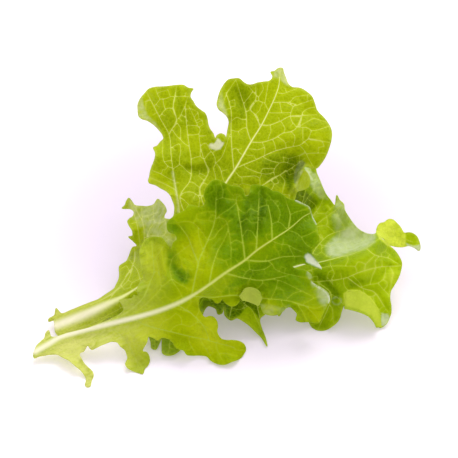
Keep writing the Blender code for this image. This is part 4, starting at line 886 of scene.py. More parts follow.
# Painted lilac halo: the table is painted darker and lilac round the bunch, standing in for lilac shade near
# the leaves
PAINTED_LILAC_HALO = "#C6BACE"
LILAC_MIDDLE = (0.0, 0.04, 0.0)
LILAC_FULL_TO = 0.05
LILAC_GONE_FROM = 0.17
ROOM_COLOUR = "#FBF6FF"
ROOM_LIGHT = 0.95
WINDOW_FROM = (0.25, 0.7, 1.0)
WINDOW_LIGHT = 1.75
WINDOW_SPREAD = math.radians(45.0)
WINDOW_COLOUR = "#FFFEF6"
SENSOR = 36.0
CAMERA_AWAY = 6.0
CAMERA_SEES_TO = 30.0
MIDDLE_OF_BUNCH_BACK = 25.0 * MM


def rounded_line(points, spacing, closed=False, pieces=0):
    """A smooth curve through drawn points, all in drawing steps.

    It is sampled at an even spacing, or in a given number of pieces from each point to the next.
    """
    points = np.array(points, float)
    if closed:
        guide = np.vstack([points[-1:], points, points[:2]])
    else:
        guide = np.vstack([2 * points[:1] - points[1:2], points, 2 * points[-1:] - points[-2:-1]])
    out = []
    for k in range(len(guide) - 3):
        p0, p1, p2, p3 = guide[k:k + 4]
        steps = [max(float(np.linalg.norm(b - a)), TINY) ** 0.5 for a, b in ((p0, p1), (p1, p2), (p2, p3))]
        t0, t1, t2, t3 = np.cumsum([0.0] + steps)
        count = pieces or max(1, round(float(np.linalg.norm(p2 - p1)) / spacing))
        t = (t1 + (t2 - t1) * np.arange(count) / count)[:, None]
        a1 = (t1 - t) / (t1 - t0) * p0 + (t - t0) / (t1 - t0) * p1
        a2 = (t2 - t) / (t2 - t1) * p1 + (t - t1) / (t2 - t1) * p2
        a3 = (t3 - t) / (t3 - t2) * p2 + (t - t2) / (t3 - t2) * p3
        b1 = (t2 - t) / (t2 - t0) * a1 + (t - t0) / (t2 - t0) * a2
        b2 = (t3 - t) / (t3 - t1) * a2 + (t - t1) / (t3 - t1) * a3
        out.append((t2 - t) / (t2 - t1) * b1 + (t - t1) / (t2 - t1) * b2)
    if not closed:
        out.append(points[-1:])
    return np.vstack(out)


def split_margin(points, spacing):
    """The margin's points, with long stretches split to the spacing, all in drawing steps."""
    out = []
    for start, end in zip(points, points[1:] + points[:1]):
        start, end = np.array(start, float), np.array(end, float)
        pieces = max(1, round(float(np.linalg.norm(end - start)) / spacing))
        out.extend(start + (end - start) * k / pieces for k in range(pieces))
    return np.array(out)


def inside(points, polygon):
    """Which points lie inside a closed polygon."""
    polygon = np.asarray(polygon, float)
    result = np.zeros(len(points), bool)
    for (x0, y0), (x1, y1) in zip(polygon, np.roll(polygon, -1, axis=0)):
        if y0 != y1:
            crosses = (y0 > points[:, 1]) != (y1 > points[:, 1])
            where = x0 + (points[:, 1] - y0) * (x1 - x0) / (y1 - y0)
            result ^= crosses & (points[:, 0] < where)
    return result


def nearest_on(points, line):
    """Distance from each point to a polyline, and how far along it the nearest place is."""
    line = np.asarray(line, float)
    best = np.full(len(points), np.inf)
    along = np.zeros(len(points))
    gone = 0.0
    for start, end in zip(line[:-1], line[1:]):
        run = end - start
        length = float(np.linalg.norm(run))
        share = np.clip((points - start) @ run / length ** 2, 0.0, 1.0)
        distance = np.linalg.norm(points - start - share[:, None] * run, axis=1)
        closer = distance < best
        best[closer] = distance[closer]
        along[closer] = gone + share[closer] * length
        gone += length
    return best, along


def eased(share):
    """A share from 0 to 1 that starts and ends gently."""
    return share * share * (3.0 - 2.0 * share)


def smooth_heights(controls, points):
    """Heights of a thin plate that passes through every control height."""
    controls = np.array(controls, float)
    places, heights = controls[:, :2] / HEIGHT_SCALE, controls[:, 2]

    def bend(distance):
        return np.where(distance > 0, distance ** 2 * np.log(np.maximum(distance, TINY)), 0.0)

    count = len(places)
    system = np.zeros((count + 3, count + 3))
    apart = np.linalg.norm(places[:, None] - places[None], axis=2)
    plane = np.column_stack([np.ones(count), places])
    system[:count, :count] = bend(apart) + np.eye(count) * HEIGHT_SLACK
    system[:count, count:] = plane
    system[count:, :count] = plane.T
    weights = np.linalg.solve(system, np.concatenate([heights, np.zeros(3)]))
    scaled = points / HEIGHT_SCALE
    reach = np.linalg.norm(scaled[:, None] - places[None], axis=2)
    return bend(reach) @ weights[:count] + weights[count] + scaled @ weights[count + 1:]


def even_grid(low, high, spacing):
    """Points in staggered rows, all the same distance apart."""
    return np.array([
        (x + (spacing / 2 if k % 2 else 0.0), y)
        for k, y in enumerate(np.arange(low[1], high[1], spacing * ROW_SHARE))
        for x in np.arange(low[0], high[0], spacing)
    ])


def rows_past_fold(turn):
    """Rows of points over the part that turns up at a fold."""
    line = rounded_line(turn["fold"], BLADE_SPACING)
    runs = np.gradient(line, axis=0)
    across = np.column_stack([-runs[:, 1], runs[:, 0]])
    across /= np.linalg.norm(across, axis=1)[:, None]
    rows = np.linspace(0.0, turn["flat_width"], FOLD_ROWS)
    return np.vstack([line + across * row for row in rows])


def run_on(veins, edge, near, owner):
    """Fine veins that carry each vein's loose end on, until it meets another vein or the margin."""
    out = []
    for number, line in enumerate(veins):
        for end, before in ((line[-1], line[-2]), (line[0], line[1])):
            if any(owner[hit[1]] != number for hit in near.find_range((end[0], end[1], 0.0), RUN_ON_JOINT)):
                continue
            forward = (end - before) / np.linalg.norm(end - before)
            path = end + forward * BLADE_SPACING * np.arange(RUN_ON_STEPS)[:, None]
            run = [tuple(end)]
            for (x, y), keep in zip(path[1:], inside(path[1:], edge)):
                if not keep:
                    break
                found, index, far = near.find((x, y, 0.0))
                if owner[index] != number and far < RUN_ON_JOINT:
                    run.append((found.x, found.y))
                    break
                run.append((x, y))
            if len(run) > 1:
                out.append(run)
    return out


def net_of_small_veins(edge, veins, seed):
    """Short veins that close the blade into cells, each joined to the veins around it."""
    near = KDTree(sum(len(vein) for vein in veins))
    owner = []
    for number, vein in enumerate(veins):
        for x, y in vein:
            near.insert((x, y, 0.0), len(owner))
            owner.append(number)
    near.balance()

    # A cell grows round each of a grid's points, moved a little by a seeded draw
    rng = np.random.default_rng(seed)
    seeds = even_grid(edge.min(axis=0) - NET_CELL, edge.max(axis=0) + NET_CELL, NET_CELL)
    seeds += rng.uniform(-NET_JITTER, NET_JITTER, seeds.shape) * NET_CELL
    _, _, triangles, _, _, _ = delaunay_2d_cdt([Vector(p) for p in seeds], [], [], 0, TINY)
    corners = seeds[np.array(triangles)]
    ax, ay = corners[:, 0].T
    bx, by = corners[:, 1].T
    cx, cy = corners[:, 2].T
    spread = 2 * (ax * (by - cy) + bx * (cy - ay) + cx * (ay - by))
    sa, sb, sc = ax ** 2 + ay ** 2, bx ** 2 + by ** 2, cx ** 2 + cy ** 2
    centres = np.column_stack([
        (sa * (by - cy) + sb * (cy - ay) + sc * (ay - by)) / spread,
        (sa * (cx - bx) + sb * (ax - cx) + sc * (bx - ax)) / spread,
    ])
    closed = np.vstack([edge, edge[:1]])
    nearest = [near.find((x, y, 0.0)) for x, y in centres]
    free = np.array([hit[2] for hit in nearest]) > NET_CLEAR_OF_VEINS
    free &= inside(centres, edge) & (nearest_on(centres, closed)[0] > NET_CLEAR_OF_MARGIN)
    beside = {}
    for index, triangle in enumerate(triangles):
        for a, b in zip(triangle, triangle[1:] + triangle[:1]):
            beside.setdefault((min(a, b), max(a, b)), []).append(index)
    net = []
    joined = set()
    for pair in beside.values():
        if len(pair) < 2 or not (free[pair[0]] or free[pair[1]]):
            continue
        start, end = pair if free[pair[0]] else pair[::-1]
        if free[end]:
            if np.linalg.norm(centres[start] - centres[end]) > NET_SHORTEST:
                net.append([tuple(centres[start]), tuple(centres[end])])
        elif start not in joined and nearest[start][2] < NET_JOIN:
            net.append([tuple(centres[start]), tuple(nearest[start][0])[:2]])
            joined.add(start)
    return net + run_on(veins, edge, near, owner)


def fill_sheet(edge, lines, folds):
    """Flat points and triangles that fill the margin, with edges along every line.

    Returns the points, the triangles, and for each point the line it lies on, or -1.
    """
    fixed = [tuple(p) for p in edge]
    owner = [-1] * len(fixed)
    cells = {}
    for index, (x, y) in enumerate(fixed):
        cells.setdefault((int(x // MERGE), int(y // MERGE)), []).append(index)

    def place(x, y, line):
        cx, cy = int(x // MERGE), int(y // MERGE)
        for i in (cx - 1, cx, cx + 1):
            for j in (cy - 1, cy, cy + 1):
                for index in cells.get((i, j), ()):
                    if math.dist(fixed[index], (x, y)) < MERGE:
                        return index
        fixed.append((x, y))
        owner.append(line)
        cells.setdefault((cx, cy), []).append(len(fixed) - 1)
        return len(fixed) - 1

    links = {(k, (k + 1) % len(edge)) for k in range(len(edge))}
    for number, line in enumerate(lines):
        before = None
        for (x, y), keep in zip(line, inside(line, edge)):
            index = place(x, y, number) if keep else None
            if before is not None and index is not None and before != index:
                links.add((before, index))
            before = index
    for x, y in folds:
        place(x, y, -1)
    near = KDTree(len(fixed))
    for index, (x, y) in enumerate(fixed):
        near.insert((x, y, 0.0), index)
    near.balance()
    grid = even_grid(edge.min(axis=0), edge.max(axis=0), BLADE_SPACING)
    grid = grid[inside(grid, edge)]
    grid = [p for p in grid if near.find((p[0], p[1], 0.0))[2] > CLEAR_SHARE * BLADE_SPACING]
    points = [Vector((x, -y)) for x, y in fixed] + [Vector((x, -y)) for x, y in grid]
    flat, _, triangles, sources, _, _ = delaunay_2d_cdt(points, sorted(links), [], 1, TINY)
    line_of = np.full(len(flat), -1)
    for index, made_from in enumerate(sources):
        for source in made_from:
            if source < len(owner) and owner[source] >= 0:
                line_of[index] = owner[source]
    return np.array([(p.x, -p.y) for p in flat]), np.array(triangles), line_of


def along_rib(table, right):
    """A rib measure given at some places along the drawing, in millimetres, at any place."""
    places, values = zip(*table)
    return np.interp(right, places, values)


def margin_wave(points, margin, phase, height, lengths, reach, blur):
    """How far the margin's waves lift each point, in metres."""
    gaps = np.linalg.norm(margin - np.roll(margin, 1, axis=0), axis=1) * DRAWING_STEP
    along = np.cumsum(gaps)
    long_wave, short_wave = (2 * math.pi / length for length in lengths)
    waves = np.sin(long_wave * along + phase)
    waves += SHORT_WAVE_SHARE * np.sin(short_wave * along + SHORT_WAVE_PHASE * phase)
    lift = np.zeros(len(points))
    for part in np.array_split(np.arange(len(points)), WAVE_BATCHES):
        apart = np.linalg.norm(points[part, None] - margin[None], axis=2) * DRAWING_STEP
        share = 1.0 / (apart ** 2 + blur ** 2) ** 2
        blurred = (share * waves).sum(axis=1) / share.sum(axis=1)
        lift[part] = height * blurred * np.exp(-(apart.min(axis=1) / reach))
    return lift


def hollow(gap, reach):
    """0 on a vein, rising to 1 away from it."""
    return 1.0 - np.exp(-((gap / reach) ** 2))


def slide_part(points, turn):
    """Moves the part beyond a fold as a whole. Returns where its points go, and how far they rise."""
    fold = rounded_line(turn["fold"], 0.0, pieces=LANDING_PIECES)
    share = np.clip(nearest_on(points, fold)[0] / turn["over"], 0.0, 1.0)
    share = np.where(inside(points, turn["part"]), eased(share), 0.0)
    right, down, up = turn["slide"]
    return points + share[:, None] * np.array([right, down]), share * up * MM


def roll_part(points, turn):
    """Rolls the part beyond a fold up over the blade.

    It is drawn flat and narrow, and its margin lands on a drawn line. Returns where its points go in
    the drawing, and how far each one rises.
    """
    fold = rounded_line(turn["fold"], 0.0, pieces=LANDING_PIECES)
    lands = rounded_line(turn["lands"], 0.0, pieces=LANDING_PIECES)
    along = nearest_on(points, fold)[1]
    runs = fold[1:] - fold[:-1]
    lengths = np.linalg.norm(runs, axis=1)
    starts = np.concatenate([[0.0], np.cumsum(lengths)])
    piece = np.clip(np.searchsorted(starts, along, side="right") - 1, 0, len(runs) - 1)
    share = ((along - starts[piece]) / lengths[piece])[:, None]
    foot = fold[piece] + runs[piece] * share
    outward = points - foot
    chosen = inside(points, turn["part"])
    chosen &= outward[:, 0] * runs[piece][:, 1] - outward[:, 1] * runs[piece][:, 0] < 0
    back = foot - lands[piece] - (lands[piece + 1] - lands[piece]) * share
    far = np.linalg.norm(back, axis=1)
    radius = turn["radius"] * MM / DRAWING_STEP
    whole = math.radians(turn["turn"])
    length = radius * whole - (far + radius * math.sin(whole)) / math.cos(whole)
    reach = np.clip(np.linalg.norm(outward, axis=1) / turn["flat_width"], 0.0, 1.0) * length
    angle = np.minimum(reach / radius, whole)
    straight = reach - radius * angle
    forward = radius * np.sin(angle) + straight * np.cos(angle)
    toward_eye = radius * (1.0 - np.cos(angle)) + straight * np.sin(angle)
    outward = back / np.maximum(far, TINY)[:, None]
    moved = points.copy()
    moved[chosen] = (foot + outward * forward[:, None])[chosen]
    rise = np.zeros(len(points))
    rise[chosen] = toward_eye[chosen] * DRAWING_STEP * math.sin(VIEW_ELEVATION)
    return moved, rise


def stand_up(points, heights):
    """Drawing points and heights above the table, in metres, as places in space."""
    right = (points[:, 0] - DRAWING_MIDDLE_RIGHT) * DRAWING_STEP
    up_picture = (DRAWING_BASE_LINE - points[:, 1]) * DRAWING_STEP
    back = (up_picture - heights * math.cos(VIEW_ELEVATION)) / math.sin(VIEW_ELEVATION)
    return np.column_stack([right, back - MIDDLE_BEHIND_BASE_LINE, heights])


def sides_of(triangles):
    """Each triangle's three sides, in the direction that it runs."""
    return np.vstack([triangles[:, [0, 1]], triangles[:, [1, 2]], triangles[:, [2, 0]]])


def even_normals(places, triangles):
    """Which way the blade faces at each point, evened out so the underside has no creases."""
    corners = places[triangles]
    facing = np.cross(corners[:, 1] - corners[:, 0], corners[:, 2] - corners[:, 0])
    normals = np.zeros_like(places)
    for k in range(3):
        np.add.at(normals, triangles[:, k], facing)
    normals /= np.linalg.norm(normals, axis=1)[:, None]
    ends = sides_of(triangles)
    for _ in range(NORMAL_PASSES):
        spread = normals.copy()
        np.add.at(spread, ends[:, 0], normals[ends[:, 1]])
        np.add.at(spread, ends[:, 1], normals[ends[:, 0]])
        normals = spread / np.linalg.norm(spread, axis=1)[:, None]
    return normals


def border_of(triangles):
    """The sheet's border edges, each in the direction its triangle runs."""
    ends = sides_of(triangles)
    key = np.sort(ends, axis=1)
    _, first, count = np.unique(key, axis=0, return_index=True, return_counts=True)
    return ends[first[count == 1]]


def nearest_gap(places, to, halves):
    """Each place's distance to the nearest of some points, as a share of that point's half width."""
    near = KDTree(len(to))
    for index, place in enumerate(to):
        near.insert(place, index)
    near.balance()
    found = [near.find(place) for place in places]
    index = np.array([hit[1] for hit in found])
    return np.array([hit[2] for hit in found]) / halves[index], index


def patches(table, points):
    """The sum of soft-edged patches (amount, soft edge, outline), at each point."""
    total = np.zeros(len(points))
    for amount, soft, outline in table:
        apart = nearest_on(points, outline + outline[:1])[0]
        apart = np.where(inside(points, outline), apart, -apart)
        total += amount * eased(np.clip(0.5 + apart / soft, 0.0, 1.0))
    return total


def soft_lines(table, points):
    """The sum of soft lines (amount, half width, line), at each point."""
    total = np.zeros(len(points))
    for amount, half_width, line in table:
        total += amount * np.exp(-((nearest_on(points, line)[0] / half_width) ** 2))
    return total


def spots(table, points):
    """The sum of soft round spots (right, down, radius, amount), at each point."""
    total = np.zeros(len(points))
    for right, down, radius, amount in table:
        apart = np.linalg.norm(points - np.array([right, down]), axis=1)
        total += amount * np.exp(-((apart / radius) ** 2))
    return total


def raise_blade(drawn, points, lines, from_rib, from_margin):
    """The leaf's form: its thickness and height above the table, and where each point is then drawn.

    The drawn heights come first, then the margin's waves and the blade standing up between the veins.
    """
    margin = split_margin(drawn["margin"], WAVE_SPACING / DRAWING_STEP)
    half = along_rib(drawn["rib_width"], points[:, 0]) * MM
    depth = along_rib(drawn["rib_depth"], points[:, 0]) * MM
    swell = np.clip(1.0 - (from_rib / half) ** 2, 0.0, 1.0) ** RIB_SHOULDER
    taper = np.clip(from_margin / MARGIN_TAPER, 0.0, 1.0)
    blade = MARGIN_THICKNESS + (BLADE_THICKNESS - MARGIN_THICKNESS) * taper
    thickness = blade + (depth - BLADE_THICKNESS).clip(0.0) * swell
    free = np.clip((from_rib - half) / WAVE_FREE_OF_RIB, 0.0, 1.0)
    to_main = np.min([nearest_on(points, vein)[0] for vein in drawn["veins"]], axis=0) * DRAWING_STEP
    flat = np.column_stack([np.vstack(lines), np.zeros(sum(len(line) for line in lines))])
    on_blade = np.column_stack([points, np.zeros(len(points))])
    to_any = nearest_gap(on_blade, flat, np.ones(len(flat)))[0] * DRAWING_STEP
    lift = margin_wave(points, margin, drawn["phase"], WAVE_HEIGHT, WAVE_LENGTHS, WAVE_REACH, WAVE_BLUR)
    lift += drawn["quilt"] * hollow(to_main, QUILT_REACH)
    crimp = margin_wave(points, margin, drawn["phase"], CRIMP_HEIGHT, CRIMP_LENGTHS, CRIMP_REACH, CRIMP_BLUR)
    pucker = drawn["pucker"] * hollow(to_any, PUCKER_REACH)
    pucker += drawn["wrinkle"] * np.array([
        noise.noise(Vector((x / WRINKLE_SIZE, y / WRINKLE_SIZE, drawn["phase"]))) for x, y in points
    ])
    pucker += soft_lines(drawn["creases"], points) * MM
    placed = points
    for turn in drawn["turns"]:
        moved, rise = (slide_part if "slide" in turn else roll_part)(points, turn)
        placed = placed + moved - points
        lift = lift + rise
        crimp[rise > 0] = 0.0
    crown = RIB_CROWN * (thickness - blade)
    form = smooth_heights(drawn["heights"], placed) * MM + lift * free + crown
    height = np.maximum(form + (crimp + pucker) * free, thickness)
    return thickness, height, placed, to_any


def close_blade(name, top, thickness, triangles):
    """The blade as a closed mesh with a rounded rim, and which of its points are on the border.

    The underside follows the even form, so that the thick rib keeps a smooth back.
    """
    normals = even_normals(top, triangles)
    under = top - normals * thickness[:, None]
    under[:, 2] = under[:, 2].clip(0.0)
    border = border_of(triangles)
    rim = np.unique(border)
    rim_of = np.full(len(top), -1)
    rim_of[rim] = np.arange(len(rim))
    outward = np.zeros((len(top), 3))
    runs = top[border[:, 1]] - top[border[:, 0]]
    out = np.cross(runs, normals[border[:, 0]])
    np.add.at(outward, border[:, 0], out)
    np.add.at(outward, border[:, 1], out)
    outward = outward[rim] / np.linalg.norm(outward[rim], axis=1)[:, None]
    round_edge = (top[rim] + under[rim]) / 2 + outward * EDGE_ROUNDING
    round_edge[:, 2] = round_edge[:, 2].clip(0.0)
    count = len(top)
    a, b = border.T
    ra, rb = rim_of[a] + 2 * count, rim_of[b] + 2 * count
    faces = np.vstack([triangles, triangles[:, ::-1] + count]).tolist()
    faces += np.column_stack([b, a, ra, rb]).tolist()
    faces += np.column_stack([rb, ra, a + count, b + count]).tolist()
    mesh = bpy.data.meshes.new(name)
    mesh.from_pydata(np.vstack([top, under, round_edge]).tolist(), [], faces)
    return mesh, rim


def from_nearest_vein(drawn, points, top, lines, line_of):
    """Each point's distance from the nearest vein, as a share of its half width, and its strength."""
    last_main = len(drawn["veins"])
    last_small = last_main + len(drawn["small_veins"])
    lengths = [float(np.linalg.norm(np.diff(line, axis=0), axis=1).sum()) for line in lines]
    on_vein = np.flatnonzero(line_of > 0)
    halves, strengths = np.empty(len(on_vein)), np.empty(len(on_vein))
    for k, index in enumerate(on_vein):
        number = line_of[index]
        if number <= last_main:
            gone = nearest_on(points[index:index + 1], lines[number])[1][0] / lengths[number]
            halves[k] = (drawn["vein_root"] * (1.0 - gone) + VEIN_END * gone) * MM
            strengths[k] = drawn["vein_strength"]
        elif number <= last_small:
            halves[k], strengths[k] = SMALL_VEIN * MM, drawn["small_strength"]
        else:
            halves[k], strengths[k] = NET_VEIN * MM, drawn["net_strength"]
    gap, nearest = nearest_gap(top, top[on_vein], halves)
    return gap, strengths[nearest]


def mark(mesh, label, on_top, on_underside, on_rim):
    """A number for each point of a closed blade, which its finish reads by name."""
    values = np.concatenate([on_top, on_underside, on_rim]).astype(np.float32)
    mesh.attributes.new(label, "FLOAT", "POINT").data.foreach_set("value", values)


def grow_leaf(name, drawn, material):
    """One leaf as a thin closed sheet with its ribs, veins, puckers and turned-up margins."""
    edge = rounded_line(drawn["margin"], BLADE_SPACING, closed=True)
    rib = rounded_line(drawn["rib"], BLADE_SPACING)
    veins = [rounded_line(vein, BLADE_SPACING) for vein in drawn["veins"] + drawn["small_veins"]]
    net = net_of_small_veins(edge, [rib] + veins, drawn["seed"])
    lines = [rib] + veins + [rounded_line(vein, BLADE_SPACING) for vein in net]
    folds = [p for turn in drawn["turns"] if "lands" in turn for p in rows_past_fold(turn)]
    folds = [p for p, keep in zip(folds, inside(np.array(folds), edge)) if keep] if folds else []
    points, triangles, line_of = fill_sheet(edge, lines, folds)

    from_rib = nearest_on(points, drawn["rib"])[0] * DRAWING_STEP
    from_margin = nearest_on(points, np.vstack([edge, edge[:1]]))[0] * DRAWING_STEP
    thickness, height, placed, to_any = raise_blade(drawn, points, lines, from_rib, from_margin)
    top = stand_up(placed, height)
    mesh, rim = close_blade(name, top, thickness, triangles)
    mesh.materials.append(material)

    # What the finish reads: how far each point is from a vein, the rib, the margin and the stem end
    vein_gap, vein_strength = from_nearest_vein(drawn, points, top, lines, line_of)
    on_rib = np.flatnonzero(line_of == 0)
    band = along_rib(drawn["rib_band"], points[on_rib, 0]) * MM
    # The tone marks hold painted shade and painted light besides the leaf's own tone, and the pale marks are
    # a painted sheen standing in for highlights and reflections
    tone = spots(drawn["tone_spots_with_painted_shade_and_light"], placed) + patches(drawn["tone_patches_with_painted_shade_and_light"], placed)
    painted_sheen_amount = patches(drawn["painted_sheen_patches"], placed) + soft_lines(drawn["painted_sheen_lines"], placed)
    for label, values in {
        "vein_gap": vein_gap.clip(0.0, FAR_FROM_VEIN),
        "vein_strength": vein_strength,
        "rib_gap": nearest_gap(top, top[on_rib], band)[0].clip(0.0, FAR_FROM_RIB),
        "margin_mm": (from_margin / MM).clip(0.0, FAR_FROM_RIB),
        "stem_end": points[:, 0],
        "cell_mm": (to_any / MM).clip(0.0, FAR_FROM_VEIN),
        "tone": tone + soft_lines(drawn["painted_shade_and_highlight_lines"], placed),
        "painted_sheen_amount": painted_sheen_amount.clip(0.0, 1.0),
    }.items():
        mark(mesh, label, values, values, values[rim])
    mark(mesh, "underside", np.zeros(len(top)), np.ones(len(top)), np.full(len(rim), RIM_UNDERSIDE))
    mesh.validate()
    mesh.shade_smooth()
    leaf = bpy.data.objects.new(name, mesh)
    bpy.context.scene.collection.objects.link(leaf)
    return leaf


def linear(colour):
    """A hex sRGB colour as the linear values that a shader takes."""
    parts = [int(colour[k:k + 2], 16) / 255 for k in (1, 3, 5)]
    return tuple(p / 12.92 if p <= 0.04045 else ((p + 0.055) / 1.055) ** 2.4 for p in parts) + (1.0,)


def add(tree, kind, settings=None, inputs=None, out=0):
    """A node with its settings, its inputs set or linked by name or number, and one output returned."""
    made = tree.nodes.new(kind)
    for name, value in (settings or {}).items():
        setattr(made, name, value)
    for name, value in (inputs or {}).items():
        socket = made.inputs[name]
        if isinstance(value, bpy.types.NodeSocket):
            tree.links.new(value, socket)
        else:
            socket.default_value = value
    return made.outputs[out] if made.outputs else None


def bare_material(name):
    """A material with no finish yet, and the tree that its finish goes in."""
    material = bpy.data.materials.new(name)
    material.use_nodes = True
    material.node_tree.nodes.clear()
    return material, material.node_tree


def fresh_lettuce_blade(name, look):
    """Fresh lettuce leaf: a thin, watery blade under a natural wax film.

    The wax gives a soft satin sheen, and the thin blade lets light from behind through as a
    brighter, yellower green. Veins and rib hold more water than colour, so they are pale. Painted shade,
    painted light and a painted sheen for highlights and reflections are laid into the green as well.
    """
    material, tree = bare_material(name)
    read = {
        label: add(tree, "ShaderNodeAttribute", {"attribute_name": label}, out="Fac")
        for label in (
            "vein_gap", "vein_strength", "cell_mm", "rib_gap", "margin_mm", "stem_end", "tone",
            "painted_sheen_amount", "underside",
        )
    }
    place = add(tree, "ShaderNodeTexCoord", out="Object")
    upright = add(tree, "ShaderNodeMapping", {}, {"Vector": place, "Scale": UPRIGHT_STRETCH})
    along_rib_line = add(tree, "ShaderNodeMapping", {"vector_type": "TEXTURE"}, {
        "Vector": place, "Rotation": (0.0, 0.0, math.radians(look["rib_turn"])), "Scale": STREAK_STRETCH,
    })

    # Patterns: where they lie, their size in millimetres and their detail
    pattern = {
        label: add(tree, "ShaderNodeTexNoise", {}, {
            "Vector": where, "Scale": 1 / (size * MM), "Detail": detail,
        }, "Fac")
        for label, where, size, detail in (
            ("patches", place, 30.0, 2.0),
            ("mottle", place, 6.0, 3.0),
            ("flecks", upright, 1.6, 4.0),
            ("rib_streaks", along_rib_line, 1.4, 3.0),
            ("painted_sheen_streaks", place, 3.5, 5.0),
            ("wax_grain", upright, 0.9, 3.0),
        )
    }

    # Cells of 2.2 mm between the finest veins: a real lettuce has them at 1 to 2 mm
    cells = add(tree, "ShaderNodeTexVoronoi", {"feature": "DISTANCE_TO_EDGE"}, {
        "Vector": place, "Scale": 1 / (2.2 * MM),
    }, "Distance")

    # Soft changes: what is read, from where to where it changes, and the share at either end
    share = {
        label: add(tree, "ShaderNodeMapRange", SMOOTHLY, {
            "Value": value, "From Min": start, "From Max": end, "To Min": first, "To Max": last,
        })
        for label, value, start, end, first, last in (
            ("cell_middle", read["cell_mm"], 0.1, 1.1, 0.12, look["cell"]),
            ("fine_net", cells, 0.02, 0.16, look["fine_net"], 0.0),
            ("cell_rise", cells, 0.0, 0.35, 0.0, 1.0),
            ("near_margin", read["margin_mm"], 0.0, 1.6, look["pale_margin"], 0.0),
            ("beside_vein", read["vein_gap"], 0.8, 3.0, 0.2, 0.0),
            ("on_vein", read["vein_gap"], 0.5, 1.5, 1.0, 0.0),
            ("beside_rib", read["rib_gap"], 0.8, 3.0, 0.3, 0.0),
            ("on_rib", read["rib_gap"], 0.1, 1.6, 1.0, 0.0),
            ("rib_far", read["stem_end"], look["rib_white_to"], look["rib_green_from"], 0.0, 1.0),
            ("stem", read["stem_end"], look["stem_from"], look["stem_to"], look["stem_share"], 0.0),
        )
    }
    for label in ("beside_vein", "on_vein"):
        share[label] = add(tree, "ShaderNodeMath", MULTIPLY, {0: share[label], 1: read["vein_strength"]})
    share["underside"] = add(tree, "ShaderNodeMath", MULTIPLY, {0: read["underside"], 1: UNDERSIDE_SHARE})

    # Deeper and yellower green in patches, mottling and flecks, deepest in the middle of each cell; the
    # tone mark read here adds painted shade and painted light
    tone = look["tone"] - PATCH_TONE / 2 - look["mottle"]
    for part, amount in (
        (pattern["patches"], PATCH_TONE),
        (pattern["mottle"], look["mottle"]),
        (pattern["flecks"], look["mottle"]),
        (read["tone"], 1.0),
        (share["cell_middle"], 1.0),
    ):
        tone = add(tree, "ShaderNodeMath", MULTIPLY_ADD, {0: part, 1: amount, 2: tone})
    tone = add(tree, "ShaderNodeMapRange", {}, {
        "Value": tone, "From Min": DEEPEST_TONE, "From Max": BRIGHTEST_TONE,
    })
    colour = add(tree, "ShaderNodeValToRGB", {}, {"Fac": tone})
    stops = colour.node.color_ramp.elements
    stops[0].color = linear(look["deepest"])
    stops[1].color = linear(look["brightest"])
    stops.new(1 / 3).color = linear(look["deep"])
    stops.new(2 / 3).color = linear(look["yellow"])

    # The pale stem end is streaked, and the painted sheen, pale colour standing in for highlights and
    # reflections, is streaked where it is faint
    striped = add(tree, "ShaderNodeMath", MULTIPLY_ADD, {
        0: pattern["rib_streaks"], 1: STRIPE_CONTRAST, 2: STRIPE_START,
    })
    striped = add(tree, "ShaderNodeMath", MULTIPLY_CLAMPED, {0: striped, 1: share["stem"]})
    faint = add(tree, "ShaderNodeMath", MULTIPLY_ADD, {0: read["painted_sheen_amount"], 1: -1.0, 2: 1.0})
    faint = add(tree, "ShaderNodeMath", MULTIPLY, {0: faint, 1: read["painted_sheen_amount"]})
    painted_sheen_share = add(tree, "ShaderNodeMath", MULTIPLY_ADD, {
        0: pattern["painted_sheen_streaks"], 1: PAINTED_SHEEN_CONTRAST, 2: -PAINTED_SHEEN_CONTRAST / 2,
    })
    painted_sheen_share = add(tree, "ShaderNodeMath", {"operation": "MULTIPLY_ADD", "use_clamp": True}, {
        0: painted_sheen_share, 1: faint, 2: read["painted_sheen_amount"],
    })

    # The rib is a watery white with faint long streaks, and turns green toward the tip
    rib = linear(look["rib"])
    for amount, over in (
        (pattern["rib_streaks"], look["rib_streak"]),
        (share["rib_far"], look["rib_far"]),
    ):
        rib = add(tree, "ShaderNodeMix", IN_COLOUR, {AMOUNT: amount, UNDER: rib, OVER: linear(over)}, MIXED)

    # The green pales along the net, the margin and the veins; stem end, painted sheen and rib lie over it
    for amount, over in (
        (share["fine_net"], linear(look["light"])),
        (share["near_margin"], linear(look["margin"])),
        (share["beside_vein"], linear(look["light"])),
        (share["on_vein"], linear(look["vein"])),
        (share["underside"], linear(look["underside"])),
        (striped, linear(look["stem"])),
        (painted_sheen_share, linear(look["painted_sheen_colour"])),
        (share["beside_rib"], linear(look["light"])),
        (share["on_rib"], rib),
    ):
        colour = add(tree, "ShaderNodeMix", IN_COLOUR, {AMOUNT: amount, UNDER: colour, OVER: over}, MIXED)

    # Wax film: fine grain, cells that stand up a little, a smoother rib and a duller underside
    relief = add(tree, "ShaderNodeMath", MULTIPLY_ADD, {
        0: pattern["wax_grain"], 1: GRAIN_SHARE, 2: share["cell_rise"],
    })
    strength = add(tree, "ShaderNodeMapRange", {}, {
        "Value": share["on_rib"], "To Min": BLADE_RELIEF, "To Max": RIB_RELIEF,
    })
    bump = add(tree, "ShaderNodeBump", {}, {
        "Height": relief, "Strength": strength, "Distance": RELIEF_DEPTH,
    })
    roughness = add(tree, "ShaderNodeMapRange", {}, {
        "Value": read["underside"], "To Min": WAX_ROUGHNESS, "To Max": UNDERSIDE_ROUGHNESS,
    })
    wax = add(tree, "ShaderNodeBsdfPrincipled", {}, {
        "Base Color": colour, "Roughness": roughness, "IOR": WAX_IOR, "Specular IOR Level": WAX_SHINE,
        "Specular Tint": linear(WAX_TINT), "Normal": bump,
    })

